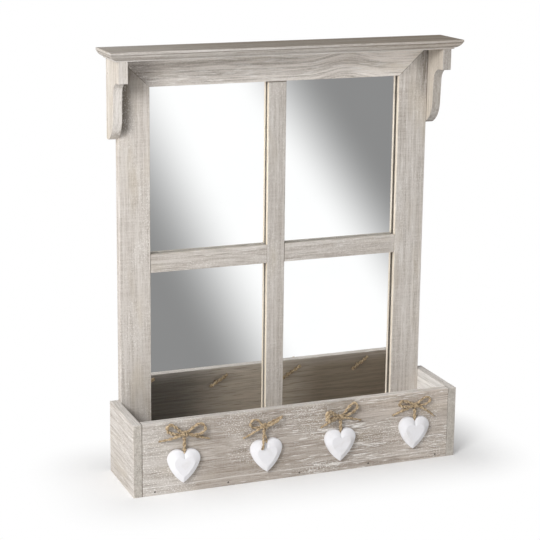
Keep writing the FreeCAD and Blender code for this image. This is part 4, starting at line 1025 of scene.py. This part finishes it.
def lime_boards(finishes):
    for node, finish in finishes.items():
        give(limed_wood(node, **finish), node)
    return {"FINISHED"}


class MIRROR_OT_frame(bpy.types.Operator):
    """Limes the stiles, rails and glazing bars"""
    bl_idname = "window_mirror.frame"
    bl_label = "Frame and Bars"

    def execute(self, context):
        return lime_boards(FRAME_FINISHES)


class MIRROR_OT_cornice(bpy.types.Operator):
    """Limes the cornice shelf and its brackets"""
    bl_idname = "window_mirror.cornice"
    bl_label = "Cornice and Brackets"

    def execute(self, context):
        return lime_boards(CORNICE_FINISHES)


class MIRROR_OT_trough(bpy.types.Operator):
    """Limes the trough's boards"""
    bl_idname = "window_mirror.trough"
    bl_label = "Trough"

    def execute(self, context):
        return lime_boards(TROUGH_FINISHES)


# Glass, backing and metal

# Width of the ground edge round the silvered pane
PANE_ARRIS = 0.0003
# Pitch of the mesh pressed into the back of the hardboard
MESH_PITCH = 0.0016


def silvered_glass():
    """Mirror glass: a clean reflection with the faintest haze."""
    silver = bpy.context.scene.mirror_parts.silver
    look = Finish("silvered_glass")
    haze = look.rise(look.noise(look.place, 14.0, 1.0, 3.0), 0.3, 0.8)
    tint = look.blend(haze, silver, [c * 0.985 for c in silver])
    return look.done(tint, look.times(haze, 0.012), Metallic=1.0)


class MIRROR_OT_pane(bpy.types.Operator):
    """Puts the silvered pane behind the bars"""
    bl_idname = "window_mirror.pane"
    bl_label = "Mirror Pane"

    def execute(self, context):
        low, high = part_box("mirror_glass")
        low.y += context.scene.mirror_parts.silver_depth
        shape = bmesh.new()
        bmesh.ops.create_cube(shape, size=1.0)
        for vertex in shape.verts:
            vertex.co = Vector((low[i] if vertex.co[i] < 0 else high[i] for i in range(3)))
        bmesh.ops.bevel(shape, geom=shape.edges[:], offset=PANE_ARRIS, segments=1, affect="EDGES")
        mesh = bpy.data.meshes.new("mirror_pane")
        shape.to_mesh(mesh)
        shape.free()
        mesh.materials.append(silvered_glass())
        take_place(bpy.data.objects.new("mirror_pane", mesh), "mirror", "mirror_glass")
        return {"FINISHED"}


def hardboard():
    """Brown pressed board with dark flecks, pale scuffs and a meshed back."""
    settings = bpy.context.scene.mirror_parts
    plain = settings.hardboard
    look = Finish("hardboard_back")
    flecks = look.noise(look.place, 320.0, 3.0, 4.0, 0.7)
    cloud = look.noise(look.place, 14.0, 5.0, 3.0)
    scuffs = look.noise(look.place, (24.0, 24.0, 300.0), 8.0, 3.0, 0.6)
    axes = look.split(look.place)
    waves = [look.sums("SINE", look.times(axes[axis], FULL_TURN / MESH_PITCH)) for axis in ("X", "Z")]
    tint = look.blend(look.times(look.rise(flecks, 0.36, 0.68), 0.62), plain, settings.hardboard_fleck)
    tint = look.blend(look.times(look.rise(cloud, 0.3, 0.75), 0.3), tint, plain)
    tint = look.blend(look.times(look.rise(scuffs, 0.6, 0.75), 0.4), tint, [c * 1.5 for c in plain])
    height = look.plus(look.times(*waves), flecks)
    return look.done(tint, look.rise(flecks, -2.0, 1.0), Normal=look.bump(height, 0.3, 0.0004))


def steel(name, polish, tarnish):
    """Plated steel with fine scratches, and tarnish in patches."""
    settings = bpy.context.scene.mirror_parts
    look = Finish(name)
    scratches = look.noise(look.place, (300.0, 2400.0, 2400.0), 2.0)
    spots = look.rise(look.noise(look.place, 240.0, 6.0, 3.0, 0.6), 0.5, 0.75)
    patches = look.times(spots, tarnish)
    worn = look.plus(look.times(scratches, 0.2), look.times(patches, 0.4))
    metal = look.less(1.0, look.times(patches, 0.6))
    return look.done(look.blend(patches, settings.steel, settings.rust), look.plus(worn, polish),
                     Metallic=metal, Normal=look.bump(scratches, 0.08, 0.0003))


def pin_head():
    """Dark sunk head of a pin, with a little filler and dust over it."""
    scene = bpy.context.scene
    look = Finish("sunk_pin")
    dust = look.rise(look.noise(look.place, 1400.0, 4.0), 0.5, 0.7)
    tint = look.blend(look.times(dust, 0.35), scene.mirror_parts.pin, scene.mirror_wood.grain)
    return look.done(tint, look.rise(dust, -1.0, 1.2), Metallic=0.2)


class MIRROR_OT_backing(bpy.types.Operator):
    """Finishes the backing board and the metal that holds it"""
    bl_idname = "window_mirror.backing"
    bl_label = "Backing and Metal"

    def execute(self, context):
        give(hardboard(), "backing_board")
        give(steel("plated_steel", 0.28, 0.5),
             "backing_tabs", "left_hanger_strap", "right_hanger_strap", "hanger_screws")
        give(steel("ring_wire", 0.18, 0.3), "left_hanger_ring", "right_hanger_ring")
        give(steel("corrugated_nail", 0.4, 0.8), "corner_nails")
        give(pin_head(), "trough_front_pins", "trough_side_pins", "bracket_pins", "cornice_pins")
        return {"FINISHED"}


# Stage

# The upright card in front of the mirror, which only the glass shows: its plane, its sides and its height
CARD_PLANE = -0.25
CARD_LEFT, CARD_RIGHT, CARD_FOOT, CARD_TOP = -0.5, 0.8, 0.002, 0.8
# How strongly the card glows, and how fast each shade on it goes over into white
CARD_GLOW, CARD_CURVE = 1.03, 1.5
# Each soft shade on the card: the way it lightens, and how far along that way it is grey and white
CARD_SHADES = (((0.8935, 0.0, 0.449), 0.005, 0.178), ((-0.824, 0.0, -0.567), -0.475, -0.322))
FLOOR_RADIUS = 6.0
# The floor goes over into plain white within these distances of the trough
FLOOR_FADE = (-0.03, 0.13)
# Each lamp's place, its width and the setting that holds its power, and the place that both face
LAMPS = {"key_lamp": ((-1.8, -1.6, 1.5), 1.0, "key"), "fill_lamp": ((-2.2, -0.3, 0.8), 1.2, "fill")}
LAMP_TARGET = Vector((0.0, 0.0, 0.25))


def aim(settings):
    """The camera's place and turn as one matrix."""
    a, e, r = settings.azimuth, settings.elevation, settings.roll
    back = Vector((math.sin(a) * math.cos(e), -math.cos(a) * math.cos(e), math.sin(e)))
    right = (-back).cross(Vector((0, 0, 1))).normalized()
    up = right.cross(-back)
    tilted = (round_about(right, up, r), round_about(up, -right, r), back)
    return Matrix.Translation(settings.camera) @ Matrix(tilted).transposed().to_4x4()


def seen_directly(look):
    """1 for rays from the camera, or by way of the glass or metal, and 0 for rays that only carry light."""
    path = look.add("ShaderNodeLightPath", {}).outputs
    either = look.sums("MAXIMUM", path["Is Camera Ray"], path["Is Glossy Ray"])
    return look.sums("MAXIMUM", either, path["Is Transmission Ray"])


class MIRROR_OT_stage(bpy.types.Operator):
    """Sets up the camera, the light, the floor and the card that the glass reflects"""
    bl_idname = "window_mirror.stage"
    bl_label = "Stage"

    def execute(self, context):
        settings = context.scene.mirror_stage
        context.scene.view_settings.view_transform = "Standard"
        self.camera(context, settings)
        self.sky(context, settings)
        self.floor(context, settings)
        self.card(context, settings)
        self.lamps(context, settings)
        return {"FINISHED"}

    def camera(self, context, settings):
        lens = bpy.data.cameras.new("camera")
        lens.sensor_width = 36.0
        lens.lens = settings.lens
        lens.shift_x, lens.shift_y = settings.shift
        lens.clip_start, lens.clip_end = 0.05, 50.0
        holder = bpy.data.objects.new("camera", lens)
        holder.matrix_world = aim(settings)
        context.scene.collection.objects.link(holder)
        context.scene.camera = holder

    def sky(self, context, settings):
        world = bpy.data.worlds.new("sky")
        world.use_nodes = True
        look = Wiring(world.node_tree)
        strength = look.add("ShaderNodeMapRange", {"Value": seen_directly(look), "To Min": settings.sky})
        look.feed(look.tree.nodes["Background"], {"Color": WHITE, "Strength": strength.outputs["Result"]})
        context.scene.world = world

    def floor(self, context, settings):
        shape = bmesh.new()
        bmesh.ops.create_circle(shape, cap_ends=True, segments=64, radius=FLOOR_RADIUS)
        mesh = bpy.data.meshes.new("floor")
        shape.to_mesh(mesh)
        shape.free()
        floor = bpy.data.objects.new("floor", mesh)
        floor.location.z = CAD_BOX[0].z
        context.scene.collection.objects.link(floor)
        look = Finish("pale_floor")
        mesh.materials.append(look.done(settings.floor, 0.9, Specular_IOR_Level=0.0))
        half = Vector((high_corner("trough_right_side").x, high_corner("trough_left_side").y, 1.0))
        beyond = look.vectors("SUBTRACT", look.vectors("ABSOLUTE", look.place), half)
        away = look.vectors("LENGTH", look.vectors("MAXIMUM", beyond, (0.0, 0.0, 0.0)))
        plain = look.times(look.rise(away, *FLOOR_FADE), seen_directly(look))
        white = look.add("ShaderNodeEmission", {"Color": WHITE}).outputs["Emission"]
        mixed = look.add("ShaderNodeMixShader", {0: plain, 1: look.shader.outputs["BSDF"], 2: white})
        look.show(mixed.outputs["Shader"])

    def card(self, context, settings):
        corners = ((CARD_LEFT, CARD_FOOT), (CARD_RIGHT, CARD_FOOT), (CARD_RIGHT, CARD_TOP),
                   (CARD_LEFT, CARD_TOP))
        mesh = bpy.data.meshes.new("shaded_card")
        mesh.from_pydata([(across, CARD_PLANE, up) for across, up in corners], [], [(0, 1, 2, 3)])
        card = bpy.data.objects.new("shaded_card", mesh)
        context.scene.collection.objects.link(card)
        card.visible_camera = card.visible_diffuse = card.visible_transmission = False
        card.visible_shadow = card.visible_volume_scatter = False
        look = Finish("shaded_card")
        shades = []
        for way, grey, white in CARD_SHADES:
            lit = look.rise(look.vectors("DOT_PRODUCT", look.place, way), grey, white)
            shades.append(look.sums("POWER", lit, CARD_CURVE))
        tint = look.blend(look.sums("MINIMUM", *shades), settings.card_grey, WHITE)
        look.show(look.add("ShaderNodeEmission", {"Color": tint, "Strength": CARD_GLOW}).outputs["Emission"])
        mesh.materials.append(look.material)

    def lamps(self, context, settings):
        for name, (place, width, power) in LAMPS.items():
            lamp = bpy.data.lights.new(name, "AREA")
            lamp.shape = "DISK"
            lamp.size = width
            lamp.energy = getattr(settings, power)
            holder = bpy.data.objects.new(name, lamp)
            holder.location = place
            holder.rotation_mode = "QUATERNION"
            holder.rotation_quaternion = (LAMP_TARGET - Vector(place)).to_track_quat("-Z", "Y")
            context.scene.collection.objects.link(holder)


# Add-on

OPERATORS = (MIRROR_OT_stage, MIRROR_OT_bows, MIRROR_OT_knot_wraps, MIRROR_OT_heart_cords,
             MIRROR_OT_inner_knots, MIRROR_OT_hearts, MIRROR_OT_pane, MIRROR_OT_frame, MIRROR_OT_cornice,
             MIRROR_OT_trough, MIRROR_OT_backing)
SETTINGS = {"mirror_twine": TwineSettings, "mirror_wood": WoodSettings, "mirror_parts": SmallPartSettings,
            "mirror_stage": StageSettings}


class MIRROR_PT_sidebar(bpy.types.Panel):
    """Lists the mirror's pieces and their settings"""
    bl_idname = "MIRROR_PT_sidebar"
    bl_label = "Window Mirror"
    bl_space_type = "VIEW_3D"
    bl_region_type = "UI"
    bl_category = "Window Mirror"

    def draw(self, context):
        for operator in OPERATORS:
            self.layout.operator(operator.bl_idname)
        for name, group in SETTINGS.items():
            box = self.layout.box()
            for setting in group.__annotations__:
                box.prop(getattr(context.scene, name), setting)


CLASSES = (*SETTINGS.values(), *OPERATORS, MIRROR_PT_sidebar)


def register():
    for made in CLASSES:
        bpy.utils.register_class(made)
    for name, group in SETTINGS.items():
        setattr(bpy.types.Scene, name, PointerProperty(type=group))


def unregister():
    for name in SETTINGS:
        delattr(bpy.types.Scene, name)
    for made in reversed(CLASSES):
        bpy.utils.unregister_class(made)


def main():
    register()
    for operator in OPERATORS:
        group, name = operator.bl_idname.split(".")
        getattr(getattr(bpy.ops, group), name)()


if __name__ == "__main__":
    main()
